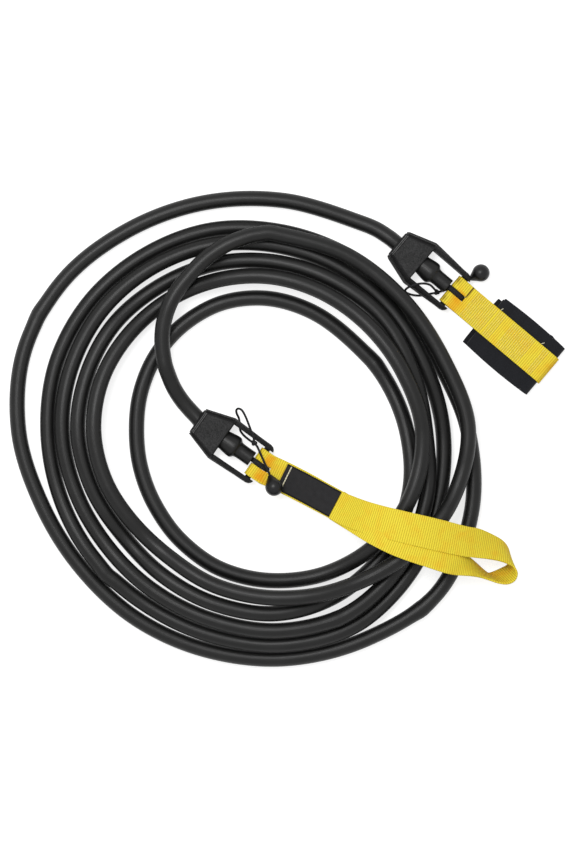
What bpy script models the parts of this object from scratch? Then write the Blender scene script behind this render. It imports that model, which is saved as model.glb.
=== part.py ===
"""Swim resistance cord, laid out flat and loosely coiled.

A hollow rubber tube with a safety line inside it ends at both sides in a moulded
stirrup frame. A tapered plug swells each tube end so that it can't pull out of its
frame. Each frame's bar carries yellow webbing: one strap is sewn over a hook-and-loop
cuff, the other makes a hand loop. A small ball on a thin cord hangs on each frame.

Lengths below are millimetres, angles are degrees, and the model is built in metres.
The floor is z = 0. The origin lies under the middle of the two end assemblies.
"""
import math

import bmesh
import bpy
import numpy as np
from mathutils import Vector

MM = 0.001
TOUCH = 0.3                 # gap that touching pieces keep

# Tube, safety line and plugs
TUBE_DIAMETER = 12.5
TUBE_BORE = 6.4
LINE_DIAMETER = 3.0
LINE_INSET = 1.5            # the line inside the tube stops this far short of its tail
COIL_GAP = 1.9              # spare room between strands that lie on each other
LEAD_GAP = 1.2              # more of it under the lead, which runs nearly along a strand
CLIMB_RADIUS = 85.0        # how sharply a strand climbs over another
LOOP_POINTS = 24            # points in one loop of the coil
FINE_STEPS = 5              # steps between those points while the strands settle
LEAD_STEPS = 2              # those steps between two points of the lead
COIL_START = 60.0
STATION_STEP = 20.0
LINE_SIDES = 5
COIL_SIDES = 6
LEAD_SIDES = 8
STUB_LENGTH = 3.0           # straight tube that stands out of a frame
STRAIGHT = 3.0              # straight run of coil or lead where it meets that stub

# Middle of the coil, and its strands' distance from it every 20 degrees
COIL_CENTRE = (-106.3, -14.94)
COIL_RADII = (
    (190.5, 186.5, 185.0, 185.5, 188.5, 188.0, 181.5, 173.5, 171.5, 174.5,
     179.0, 186.0, 193.5, 202.0, 193.0),
    (178.5, 164.5, 163.0, 162.0, 161.5, 162.5, 161.5, 161.5, 160.5, 158.0,
     157.5, 158.5, 160.5, 166.0, 174.0, 179.5, 174.5, 165.0),
    (158.5, 152.5, 151.0, 150.0, 149.5, 150.0, 149.5, 149.0, 147.5, 146.0,
     144.0, 144.0, 147.5, 153.5, 162.0, 167.5, 163.5, 154.5),
    (144.0, 141.0, 141.0, 138.0, 136.0, 135.0, 134.0, 134.5, 133.5, 133.0,
     130.5, 129.0, 133.0, 140.0, 148.0, 151.0, 148.5, 140.0),
    (129.0, 119.5, 111.5, 109.0, 107.0, 103.5, 98.0, 93.0, 89.0, 87.0,
     89.0, 94.0, 102.5, 113.0, 122.5, 132.0, 139.0, 142.0),
    (141.0, 133.5, 128.5, 125.5, 123.5, 121.5, 120.5, 120.0, 120.5, 120.0,
     118.0, 116.0, 118.0, 126.0, 135.0, 146.5, 160.0, 173.5),
    (178.0, 167.5, 163.0, 161.0, 157.5),
)
# Free stretch from the coil's last strand to frame B
LEAD_POINTS = (
    (-95.0, 140.6), (-108.5, 137.2), (-122.5, 131.2), (-138.0, 120.5),
    (-151.5, 106.5), (-161.9, 92.7), (-168.3, 79.0), (-171.6, 65.0), (-171.9, 51.0),
    (-169.4, 35.5), (-163.6, 19.8), (-156.4, 6.6),
)

# Stirrup frames, along their length from the tube's mouth to the bar
FRAME_A_PLACE = (15.2, 134.16, -40.0)
FRAME_B_PLACE = (-144.6, -7.54, -35.0)
AXIS_HEIGHT = 9.5           # tube axis over the floor, and half the body's thickness
FRAME_LENGTH = 64.6
MOUTH_HALF_WIDTH = 11.4
SHOULDER_HALF_WIDTH = 18.8
FAR_HALF_WIDTH = 18.2
PLATE_END = 26.0            # where the thick body stops and the window starts
SHOULDER_INSET = 1.2        # the frame is widest this far before the window
STEP_LENGTH = 1.2           # run over which the body's thickness drops to the arms'
LIP_LENGTH = 1.6
LIP_NARROWING = 1.2
LIP_DROP = 2.2
ARM_WIDTH = 4.3
ARM_HALF_HEIGHT = 7.2
ARM_END_HALF_HEIGHT = 5.0
EDGE_CHAMFER = 1.4
CORNER_RADIUS = 5.0
CORNER_DROP = 0.35          # how much a corner falls for each millimetre it turns in
OVERCUT = 5.0               # how far a cutter reaches past what it cuts
BAR_DIAMETER = 5.0
BAR_INSET = 5.6             # from the arms' ends to the bar's middle

# Tube end that swells over its plug, measured from the window's start
SWELL_START = 15.0
SWELL_DIAMETER = 18.4
SWELL_AT = 9.2
SWELL_FLAT = 2.4
SWELL_EASE = 0.25           # fall from the widest ring to the one before it
SWELL_FALL = 0.9            # and to the one after it
NECK_AT = 13.8
NECK_FLARE = 0.2
END_GAP = 1.1               # between the tube's cut end and the webbing on the bar

# Webbing, cuff, label and stitching
WEB_WIDTH = 25.0
WEB_THICKNESS = 1.5
LOOP_STEP = 5.0             # between two stations of the hand loop
SLIT_WIDTH = 4.2
SLIT_END = 11.0
WRAP_END = 6.0              # where the webbing has left the bar, and its layers near each other
LAYERS_MEET = 14.0
LAYERS_EASE = 0.4
LINE_HOOK = 160             # the line's tail runs round the bar between these angles, up and down
CUFF_WIDTH = 49.0
CUFF_LENGTH = 64.5
CUFF_START = 34.0
CUFF_SHIFT = -1.7
CUFF_THICKNESS = 2.0
CUFF_GAP = 4.8
CUFF_FLOOR = 0.2
FLAP_OVERHANG = 2.5
HINGE_INSET = 3.0           # the flap bends this far before the fold
PATCH_START = 1.0
PATCH_LENGTH = 21.0
PATCH_INSET = 2.0
STITCH_START = 17.0
STITCH_LENGTH = 29.0
STITCH_ROWS = 12
STITCH_WIDTH = 21.0
STITCH_THICKNESS = 0.5
LABEL_LENGTH = 48.0
LABEL_WIDTH = 22.4
LABEL_START = 22.0
LABEL_THICKNESS = 0.6
LABEL_STATIONS = 12
LABEL_THREAD_INSET = 3.0
LABEL_MARGIN = 1.2
THREAD_WIDTH = 1.0
THREAD_HEIGHT = 0.4

# Toggles
BALL_DIAMETER = 14.0
BALL_NECK = 10.5
BALL_NECK_DIAMETER = 3.4
TOGGLE_CORD_DIAMETER = 1.8
KNOT_DIAMETER = 4.8
KNOT_LEAN = (0.6, 0.7, 0.3)
CORD_STEP = 2.6             # between two points of a toggle cord
BALL_SHOULDER = 4.2         # where the ball turns into its neck, from its middle
BALL_COLLAR = 3.0

COLOURS = {
    "tube_rubber": ((0.028, 0.028, 0.028), 0.42),
    "line_cord": ((0.02, 0.02, 0.022), 0.7),
    "plug_plastic": ((0.8, 0.8, 0.78), 0.4),
    "frame_plastic": ((0.032, 0.032, 0.033), 0.5),
    "yellow_webbing": ((0.87, 0.58, 0.008), 0.75),
    "yellow_thread": ((0.9, 0.66, 0.03), 0.6),
    "cuff_fabric": ((0.013, 0.014, 0.018), 0.95),
    "hook_tape": ((0.02, 0.02, 0.022), 0.6),
    "loop_tape": ((0.016, 0.016, 0.018), 0.95),
    "label_fabric": ((0.017, 0.016, 0.018), 0.7),
    "cream_thread": ((0.8, 0.76, 0.6), 0.6),
    "toggle_plastic": ((0.035, 0.035, 0.036), 0.35),
}


def material(slot):
    """The Principled material of one slot, made once."""
    found = bpy.data.materials.get(slot)
    if found:
        return found
    colour, roughness = COLOURS[slot]
    made = bpy.data.materials.new(slot)
    made.use_nodes = True
    shader = made.node_tree.nodes["Principled BSDF"]
    shader.inputs["Base Color"].default_value = (*colour, 1.0)
    shader.inputs["Roughness"].default_value = roughness
    shader.inputs["Metallic"].default_value = 0.0
    return made


def face_outwards(shell):
    """Turn every face of a closed shell outwards."""
    bmesh.ops.recalc_face_normals(shell, faces=shell.faces)
    if shell.calc_volume(signed=True) < 0:
        bmesh.ops.reverse_faces(shell, faces=shell.faces)


def solid(name, points, faces, slot, parent=None, cutter=False):
    """A mesh object from points in millimetres, with its faces turned outwards."""
    mesh = bpy.data.meshes.new(name)
    mesh.from_pydata([tuple(p) for p in np.asarray(points, float) * MM], [], faces)
    shell = bmesh.new()
    shell.from_mesh(mesh)
    face_outwards(shell)
    shell.to_mesh(mesh)
    shell.free()
    mesh.materials.append(material(slot))
    mesh.shade_smooth()
    mesh.set_sharp_from_angle(angle=math.radians(35))
    thing = bpy.data.objects.new(name, mesh)
    bpy.context.scene.collection.objects.link(thing)
    thing.parent = parent
    if cutter:
        thing.hide_render = True
        thing.display_type = "WIRE"
    return thing


def empty(name, place, turn=0.0, parent=None):
    """A marker on a joint's axis: place in millimetres, turned about Z."""
    mark = bpy.data.objects.new(name, None)
    bpy.context.scene.collection.objects.link(mark)
    mark.location = Vector(place) * MM
    mark.rotation_euler = (0.0, 0.0, math.radians(turn))
    mark.parent = parent
    return mark


def boolean(thing, operation, other):
    """Add an exact Boolean modifier."""
    step = thing.modifiers.new(operation.lower(), "BOOLEAN")
    step.operation = operation
    step.solver = "EXACT"
    step.object = other


def rings_to_faces(rings, count, closed=False):
    """Quads between neighbouring rings of count points, with end caps unless closed."""
    faces = []
    for ring in range(rings if closed else rings - 1):
        here, there = ring * count, ((ring + 1) % rings) * count
        for side in range(count):
            after = (side + 1) % count
            faces.append((here + side, here + after, there + after, there + side))
    if not closed:
        faces.append(tuple(range(count)))
        faces.append(tuple(range((rings - 1) * count, rings * count)))
    return faces


def directions(path):
    """Unit directions along a path, from each point's two neighbours."""
    way = np.gradient(path, axis=0)
    return way / np.linalg.norm(way, axis=1, keepdims=True)


def curve_through(points, step):
    """Points every step along a smooth curve through the given ones (Catmull-Rom)."""
    points = np.asarray(points, float)
    ends = np.vstack([2 * points[0] - points[1], points, 2 * points[-1] - points[-2]])
    pieces = []
    for a, b, c, d in zip(ends, ends[1:], ends[2:], ends[3:]):
        t = np.linspace(0, 1, 24, endpoint=False)[:, None]
        pieces.append(
            0.5 * (2 * b + (c - a) * t + (2 * a - 5 * b + 4 * c - d) * t ** 2
                   + (3 * b - a - 3 * c + d) * t ** 3)
        )
    fine = np.vstack([*pieces, points[-1:]])
    run = np.concatenate([[0], np.cumsum(np.linalg.norm(np.diff(fine[:, :3], axis=0), axis=1))])
    count = max(2, round(run[-1] / step) + 1)
    at = np.linspace(0, run[-1], count)
    return np.column_stack([np.interp(at, run, fine[:, k]) for k in range(fine.shape[1])])


def tube_rings(path, radius, sides):
    """Rings of points round a path that never runs straight up."""
    way = directions(path)
    side = np.cross(way, (0.0, 0.0, 1.0))
    side /= np.linalg.norm(side, axis=1, keepdims=True)
    up = np.cross(side, way)
    turn = 2 * math.pi * np.arange(sides) / sides
    return (path[:, None]
            + radius * (np.cos(turn)[None, :, None] * side[:, None]
                        + np.sin(turn)[None, :, None] * up[:, None]))


def tube(name, path, diameter, sides, slot, parent=None, bore=0.0):
    """A round tube along a path, solid or with a bore from end to end."""
    path = np.asarray(path, float)
    outer = tube_rings(path, diameter / 2, sides)
    count = len(path)
    if not bore:
        return solid(name, outer.reshape(-1, 3), rings_to_faces(count, sides), slot, parent)
    inner = tube_rings(path, bore / 2, sides)
    points = np.vstack([outer.reshape(-1, 3), inner.reshape(-1, 3)])
    wall = rings_to_faces(count, sides)[:-2]
    shift = count * sides
    faces = wall + [tuple(shift + k for k in face) for face in wall]
    for start in (0, (count - 1) * sides):
        for k in range(sides):
            after = (k + 1) % sides
            faces.append((start + k, start + after, shift + start + after, shift + start + k))
    return solid(name, points, faces, slot, parent)


def turned(name, profile, sides, slot, parent=None, place=(0, 0, 0), along=(1, 0, 0),
           cutter=False):
    """A closed profile of (distance along, radius) turned round an axis through place."""
    way = Vector(along).normalized()
    turn = Vector((1, 0, 0)).rotation_difference(way).to_matrix()
    rings = []
    for k in range(sides):
        angle = 2 * math.pi * k / sides
        for x, r in profile:
            spot = turn @ Vector((x, r * math.cos(angle), r * math.sin(angle)))
            rings.append(spot + Vector(place))
    faces = rings_to_faces(sides, len(profile), closed=True)
    made = solid(name, rings, faces, slot, parent, cutter)
    shell = bmesh.new()
    shell.from_mesh(made.data)
    bmesh.ops.remove_doubles(shell, verts=shell.verts, dist=1e-7)
    spare = [edge for edge in shell.edges if not edge.link_faces]
    bmesh.ops.delete(shell, geom=spare, context="EDGES")
    face_outwards(shell)
    shell.to_mesh(made.data)
    shell.free()
    return made


def ribbon(name, stations, width, thickness, slot, parent=None, lift=0.0):
    """Flat webbing along stations of (x, y, z, width direction x, y, z).

    lift moves it off that line along its face's normal.
    """
    stations = np.asarray(stations, float)
    middle = stations[:, :3]
    way = directions(middle)
    across = stations[:, 3:6]
    across = across - way * np.sum(across * way, axis=1, keepdims=True)
    across /= np.linalg.norm(across, axis=1, keepdims=True)
    face = np.cross(way, across)
    middle = middle + face * lift
    corners = [middle + across * width / 2 * a + face * thickness / 2 * b
               for a, b in ((-1, -1), (1, -1), (1, 1), (-1, 1))]
    rings = np.stack(corners, axis=1)
    return solid(name, rings.reshape(-1, 3), rings_to_faces(len(stations), 4), slot, parent)


def block(name, low, high, slot, parent=None, cutter=False):
    """A box between two corners."""
    points = [(x, y, z) for x in (low[0], high[0]) for y in (low[1], high[1])
              for z in (low[2], high[2])]
    faces = [(0, 1, 3, 2), (4, 6, 7, 5), (0, 4, 5, 1), (2, 3, 7, 6), (0, 2, 6, 4), (1, 5, 7, 3)]
    return solid(name, points, faces, slot, parent, cutter)


def coil_route():
    """Plan points of the whole tube between the two frames' stubs.

    Returns the points, and how many belong to the coil itself.
    """
    radii = np.array([r for turn in COIL_RADII for r in turn])
    angles = COIL_START + STATION_STEP * np.arange(len(radii))
    stations = np.column_stack([
        COIL_CENTRE[0] + radii * np.cos(np.radians(angles)),
        COIL_CENTRE[1] + radii * np.sin(np.radians(angles)),
    ])
    start = mouth_point(FRAME_A_PLACE, STUB_LENGTH + TOUCH)
    start_in = mouth_point(FRAME_A_PLACE, STUB_LENGTH + TOUCH + STRAIGHT)
    finish = mouth_point(FRAME_B_PLACE, STUB_LENGTH + TOUCH)
    finish_in = mouth_point(FRAME_B_PLACE, STUB_LENGTH + TOUCH + STRAIGHT)
    first = int(np.argmax(np.linalg.norm(stations - start_in, axis=1) > 2 * STRAIGHT))
    lead = [p for p in LEAD_POINTS if math.dist(p, finish_in) > 2 * STRAIGHT]
    plan = np.vstack([start, start_in, stations[first:], lead, finish_in, finish])
    step = 2 * math.pi * np.mean(radii) / (LOOP_POINTS * FINE_STEPS)
    route = curve_through(plan, step)
    inside = (np.linalg.norm(route - start, axis=1) > 1.3 * STRAIGHT)
    inside &= np.linalg.norm(route - finish, axis=1) > 1.3 * STRAIGHT
    route = np.vstack([start, start_in, route[inside], finish_in, finish])
    late = len(route) * 3 // 4
    return route, late + int(np.argmin(np.linalg.norm(route[late:] - stations[-1], axis=1)))


def mouth_point(place, distance):
    """The plan point on a frame's tube axis, this far out of its mouth."""
    turn = math.radians(place[2])
    return (place[0] - distance * math.cos(turn), place[1] - distance * math.sin(turn))


def settle(plan, split):
    """Heights of the strands: each lies on the floor or on the strands laid before it."""
    radius = TUBE_DIAMETER / 2
    reach = np.full((len(plan), 1), TUBE_DIAMETER + COIL_GAP)
    reach[split:] += LEAD_GAP
    run = np.concatenate([[0], np.cumsum(np.linalg.norm(np.diff(plan, axis=0), axis=1))])
    apart = np.linalg.norm(plan[:, None] - plan[None], axis=2)
    earlier = np.arange(len(plan))[:, None] - np.arange(len(plan))[None] > LOOP_POINTS * 2
    lift = np.sqrt(np.maximum(reach ** 2 - apart ** 2, 0))
    lift[~earlier | (apart >= reach)] = -1e6
    bend = (run[:, None] - run[None]) ** 2 / (2 * CLIMB_RADIUS)
    floor = np.full(len(plan), radius)
    at_stub = (run < 1.1 * STRAIGHT) | (run > run[-1] - 1.1 * STRAIGHT)
    floor[at_stub] = AXIS_HEIGHT
    height = floor.copy()
    for layer in range(12):
        raised = np.maximum(floor, (height[None] + lift).max(axis=1))
        height = (raised[None] - bend).max(axis=1)
        height = np.maximum(height, radius)
    soft = np.convolve(np.pad(height, 2, mode="edge"), np.ones(5) / 5, mode="valid")
    soft[at_stub] = AXIS_HEIGHT
    return soft


def least_gap(path):
    """The least distance between strands of one path, less the tube's diameter."""
    fine = []
    for a, b in zip(path, path[1:]):
        fine += [a + (b - a) * t for t in np.linspace(0, 1, 8, endpoint=False)]
    fine = np.array(fine)
    run = np.concatenate([[0], np.cumsum(np.linalg.norm(np.diff(fine, axis=0), axis=1))])
    least = 1e9
    for k in range(0, len(fine), 200):
        part = slice(k, k + 200)
        far = np.abs(run[part, None] - run[None]) > 8 * TUBE_DIAMETER
        gaps = np.linalg.norm(fine[part, None] - fine[None], axis=2)
        least = min(least, gaps[far].min())
    return least - TUBE_DIAMETER


def make_tube():
    """The coil, the free lead, and the safety line inside them."""
    plan, split = coil_route()
    path = np.column_stack([plan, settle(plan, split)])
    ahead = directions(path)[split] * TUBE_DIAMETER
    joint = path[split]
    coil = np.vstack([path[0], path[1:split - 2:FINE_STEPS], joint - ahead, joint])
    after = path[split + 3:-2:LEAD_STEPS]
    gap = ahead * TOUCH / TUBE_DIAMETER
    lead = np.vstack([joint + gap, joint + gap + ahead, after, path[-2], path[-1]])
    print("coil loops:", round((len(coil) - 1) / LOOP_POINTS, 2),
          "least gap of the tube to itself, mm:", round(least_gap(np.vstack([coil, lead])), 2))
    length = np.linalg.norm(np.diff(path, axis=0), axis=1).sum()
    print("tube between the stubs, m:", round(length * MM, 3))
    tube("tube_coil", coil, TUBE_DIAMETER, COIL_SIDES, "tube_rubber", bore=TUBE_BORE)
    tube("tube_lead_b", lead, TUBE_DIAMETER, LEAD_SIDES, "tube_rubber", bore=TUBE_BORE)
    stop = TUBE_STOP - LINE_INSET
    inner = [end_point(FRAME_A_PLACE, stop), end_point(FRAME_A_PLACE, 0.0), *coil,
             *lead[1:], end_point(FRAME_B_PLACE, 0.0), end_point(FRAME_B_PLACE, stop)]
    tube("safety_line", inner, LINE_DIAMETER, LINE_SIDES, "line_cord")


BAR_AT = FRAME_LENGTH - BAR_INSET
WRAP_RADIUS = BAR_DIAMETER / 2 + TOUCH + WEB_THICKNESS / 2
TUBE_STOP = BAR_AT - WRAP_RADIUS - WEB_THICKNESS / 2 - END_GAP


def end_point(place, along):
    """The world point on a frame's tube axis, this far in from its mouth."""
    turn = math.radians(place[2])
    return np.array([place[0] + along * math.cos(turn), place[1] + along * math.sin(turn),
                     AXIS_HEIGHT])


def swell_profile(clearance=0.0):
    """Outer profile of the tube end, from the stub to the cut end."""
    radius = TUBE_DIAMETER / 2 + clearance
    top = SWELL_DIAMETER / 2 + clearance
    mouth = radius + (top - radius) * (PLATE_END - SWELL_START) / (PLATE_END + SWELL_AT - SWELL_START)
    return [
        (-STUB_LENGTH, radius), (SWELL_START, radius), (PLATE_END, mouth),
        (PLATE_END + SWELL_AT - SWELL_FLAT, top - SWELL_EASE), (PLATE_END + SWELL_AT, top),
        (PLATE_END + SWELL_AT + SWELL_FLAT, top - SWELL_FALL),
        (PLATE_END + NECK_AT, radius + NECK_FLARE), (TUBE_STOP, radius),
    ]


def make_tube_end(letter, parent):
    """The tube's swollen end, and the plug that swells it."""
    outer = swell_profile()
    bore = TUBE_BORE / 2
    wall = TUBE_DIAMETER / 2 - bore
    inner = [(x, max(bore, r - wall)) for x, r in outer]
    turned(f"tube_end_{letter}", outer + inner[::-1], 20, "tube_rubber", parent)
    hole = LINE_DIAMETER / 2 + TOUCH
    plug = [(x, r - TOUCH) for x, r in inner[1:-1]]
    turned(f"end_plug_{letter}", plug + [(plug[-1][0], hole), (plug[0][0], hole)], 16,
           "plug_plastic", parent)


def frame_half_width(u):
    """Half of the frame's width along its length."""
    shoulder = PLATE_END - SHOULDER_INSET
    if u <= shoulder:
        return MOUTH_HALF_WIDTH + (SHOULDER_HALF_WIDTH - MOUTH_HALF_WIDTH) * u / shoulder
    slope = (FAR_HALF_WIDTH - SHOULDER_HALF_WIDTH) / (FRAME_LENGTH - shoulder)
    return SHOULDER_HALF_WIDTH + slope * (u - shoulder)


def frame_half_height(u):
    """Half of the frame's height: a thick body, then arms that taper to the bar."""
    start = PLATE_END + STEP_LENGTH / 2
    if u < start:
        return AXIS_HEIGHT
    fall = (ARM_HALF_HEIGHT - ARM_END_HALF_HEIGHT) / (FRAME_LENGTH - start)
    return ARM_HALF_HEIGHT - fall * (u - start)


def make_frame(letter, parent):
    """The moulded stirrup: chamfered body and arms, window, bore, and the strap's bar."""
    half_step = STEP_LENGTH / 2
    lengths = [0.0, LIP_LENGTH, PLATE_END - SHOULDER_INSET, PLATE_END - half_step,
               PLATE_END + half_step]
    corner = [FRAME_LENGTH - CORNER_RADIUS * (1 - math.sin(math.radians(a)))
              for a in (0, 30, 55, 75, 90)]
    rings = []
    for u in lengths + corner:
        lip = max(0.0, 1 - u / LIP_LENGTH)
        past = max(0.0, u - (FRAME_LENGTH - CORNER_RADIUS)) / CORNER_RADIUS
        inset = CORNER_RADIUS * (1 - math.sqrt(max(0.0, 1 - past ** 2)))
        wide = frame_half_width(u) - LIP_NARROWING * lip - inset
        high = frame_half_height(u) - LIP_DROP * lip - CORNER_DROP * inset
        cut = min(EDGE_CHAMFER, 0.3 * high)
        section = [(wide, high - 2.6 * cut), (wide - 0.5 * cut, high - cut), (wide - 1.8 * cut, high)]
        quarter = section + [(-y, z) for y, z in section[::-1]]
        around = quarter + [(-y, -z) for y, z in quarter]
        rings += [(u, y, z) for y, z in around]
    frame = solid(f"frame_{letter}", rings, rings_to_faces(len(lengths + corner), len(around)),
                  "frame_plastic", parent)
    inner = [(u, frame_half_width(u) - ARM_WIDTH) for u in (PLATE_END, FRAME_LENGTH + OVERCUT)]
    outline = [(u, y) for u, y in inner] + [(u, -y) for u, y in inner[::-1]]
    tall = 2 * AXIS_HEIGHT
    window = solid(f"window_{letter}", [(x, y, z) for z in (-tall, tall) for x, y in outline],
                   rings_to_faces(2, len(outline)), "frame_plastic", parent, cutter=True)
    bore = [(x, r) for x, r in swell_profile(TOUCH) if x <= PLATE_END]
    opening = (bore[-1][1] - bore[-2][1]) / (PLATE_END - SWELL_START)
    last = (PLATE_END + OVERCUT, bore[-1][1] + opening * OVERCUT)
    bore = [(-OVERCUT, 0.0), (-OVERCUT, bore[0][1]), *bore[1:-1], last, (last[0], 0.0)]
    hole = turned(f"bore_{letter}", bore, 20, "frame_plastic", parent, cutter=True)
    reach = FAR_HALF_WIDTH - ARM_WIDTH / 2
    round_bar = [(-reach, 0.0), (-reach, BAR_DIAMETER / 2), (reach, BAR_DIAMETER / 2), (reach, 0.0)]
    bar = turned(f"bar_{letter}", round_bar, 14, "frame_plastic", parent, (BAR_AT, 0, 0), (0, 1, 0),
                 cutter=True)
    boolean(frame, "DIFFERENCE", window)
    boolean(frame, "DIFFERENCE", hole)
    boolean(frame, "UNION", bar)
    return frame


def make_line_tail(letter, parent):
    """The safety line's tail: tied round the bar, inside the webbing's slit."""
    ring = BAR_DIAMETER / 2 + TOUCH + LINE_DIAMETER / 2
    bends = np.radians(np.arange(LINE_HOOK, -LINE_HOOK - 1, -20))
    points = ring * np.column_stack([np.cos(bends), 0.0 * bends, np.sin(bends)])
    way = directions(points)
    across = np.tile((0.0, 1.0, 0.0), (len(points), 1))
    face = np.cross(way, across)
    turn = 2 * math.pi * np.arange(LINE_SIDES) / LINE_SIDES
    rings = (points[:, None] + LINE_DIAMETER / 2 * (np.cos(turn)[None, :, None] * across[:, None]
                                                   + np.sin(turn)[None, :, None] * face[:, None]))
    solid(f"line_tail_{letter}", rings.reshape(-1, 3), rings_to_faces(len(points), LINE_SIDES),
          "line_cord", parent)


CUFF_TOP = -AXIS_HEIGHT + CUFF_FLOOR + 2 * CUFF_THICKNESS + CUFF_GAP
STRAP_A_LEVEL = CUFF_TOP + TOUCH + WEB_THICKNESS / 2
LAYER_STEP = WEB_THICKNESS + TOUCH
FOLD_RADIUS = (CUFF_GAP + CUFF_THICKNESS) / 2
FOLD_AT = CUFF_START + CUFF_LENGTH - FOLD_RADIUS - CUFF_THICKNESS / 2
FOLD_LEVEL = CUFF_TOP - CUFF_THICKNESS / 2 - FOLD_RADIUS
FLAP_LEVEL = FOLD_LEVEL - FOLD_RADIUS
HINGE_AT = FOLD_AT - HINGE_INSET


def bar_wrap(level_below, level_above):
    """Stations that come from +X below the bar, go round it and leave above it."""
    stations = [(SLIT_END, 0.0, level_below), (WRAP_END, 0.0, (level_below - WRAP_RADIUS) / 2)]
    for angle in range(-90, -271, -30):
        stations.append((WRAP_RADIUS * math.cos(math.radians(angle)), 0.0,
                         WRAP_RADIUS * math.sin(math.radians(angle))))
    stations.append((WRAP_END, 0.0, WRAP_RADIUS + 0.35 * (level_above - WRAP_RADIUS)))
    return stations


def slit(letter, parent):
    """Cutter for the lengthwise slit that the safety line's tail stands in."""
    half = SLIT_WIDTH / 2
    return block(f"slit_{letter}", (-OVERCUT - WRAP_RADIUS, -half, -2 * AXIS_HEIGHT),
                 (SLIT_END, half, 2 * AXIS_HEIGHT), "yellow_webbing", parent, cutter=True)


def flat_stations(points):
    """Give points of (x, y, z) the width direction +Y."""
    return [(x, y, z, 0.0, 1.0, 0.0) for x, y, z in points]


def make_strap_a(parent):
    """Webbing from the bar over the cuff and round its fold, with its stitched rows."""
    below = STRAP_A_LEVEL - LAYER_STEP
    points = [(CUFF_START - FLAP_OVERHANG, 0.0, below), (LAYERS_MEET, 0.0, below)]
    points += bar_wrap(below, STRAP_A_LEVEL)
    points += [(LAYERS_MEET, 0.0, STRAP_A_LEVEL + LAYERS_EASE),
               (LAYERS_MEET + WRAP_END, 0.0, STRAP_A_LEVEL), (FOLD_AT, 0.0, STRAP_A_LEVEL)]
    reach = STRAP_A_LEVEL - FOLD_LEVEL
    for angle in range(75, -31, -15):
        points.append((FOLD_AT + reach * math.cos(math.radians(angle)), 0.0,
                       FOLD_LEVEL + reach * math.sin(math.radians(angle))))
    strap = ribbon("strap_a", flat_stations(points), WEB_WIDTH, WEB_THICKNESS, "yellow_webbing",
                   parent)
    boolean(strap, "DIFFERENCE", slit("a", parent))
    low = STRAP_A_LEVEL + WEB_THICKNESS / 2 + TOUCH
    pitch = STITCH_LENGTH / STITCH_ROWS
    ridge = [(STITCH_START, low)]
    for row in range(STITCH_ROWS):
        x = STITCH_START + row * pitch
        ridge += [(x, low + STITCH_THICKNESS * 0.5), (x + pitch * 0.3, low + STITCH_THICKNESS),
                  (x + pitch * 0.7, low + STITCH_THICKNESS)]
    ridge += [(STITCH_START + STITCH_LENGTH, low + STITCH_THICKNESS * 0.5),
              (STITCH_START + STITCH_LENGTH, low)]
    half = STITCH_WIDTH / 2
    rows = [(x, y, z) for y in (-half, half) for x, z in ridge]
    solid("strap_a_stitching", rows, rings_to_faces(2, len(ridge)), "yellow_thread", parent)


def make_cuff(parent, hinge):
    """Hook-and-loop cuff: fixed band with its fold, the flap below, and both patches."""
    level = CUFF_TOP - CUFF_THICKNESS / 2
    points = [(CUFF_START, CUFF_SHIFT, level), (FOLD_AT, CUFF_SHIFT, level)]
    for angle in range(70, -91, -20):
        points.append((FOLD_AT + FOLD_RADIUS * math.cos(math.radians(angle)), CUFF_SHIFT,
                       FOLD_LEVEL + FOLD_RADIUS * math.sin(math.radians(angle))))
    points.append((HINGE_AT, CUFF_SHIFT, FLAP_LEVEL))
    ribbon("cuff_band", flat_stations(points), CUFF_WIDTH, CUFF_THICKNESS, "cuff_fabric", parent)
    half = CUFF_WIDTH / 2
    thick = (CUFF_GAP - 3 * TOUCH) / 2
    low, high = CUFF_SHIFT - half + PATCH_INSET, CUFF_SHIFT + half - PATCH_INSET
    top = CUFF_TOP - CUFF_THICKNESS - TOUCH
    patch = CUFF_START + PATCH_START
    block("hook_patch", (patch, low, top - thick), (patch + PATCH_LENGTH, high, top), "hook_tape",
          parent)
    flap_start = CUFF_START - FLAP_OVERHANG - HINGE_AT
    block("cuff_flap", (flap_start, CUFF_SHIFT - half, 0.0),
          (-TOUCH, CUFF_SHIFT + half, CUFF_THICKNESS), "cuff_fabric", hinge)
    bottom = CUFF_THICKNESS + TOUCH
    block("loop_patch", (patch - HINGE_AT, low, bottom),
          (patch + PATCH_LENGTH - HINGE_AT, high, bottom + thick), "loop_tape", hinge)


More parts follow.
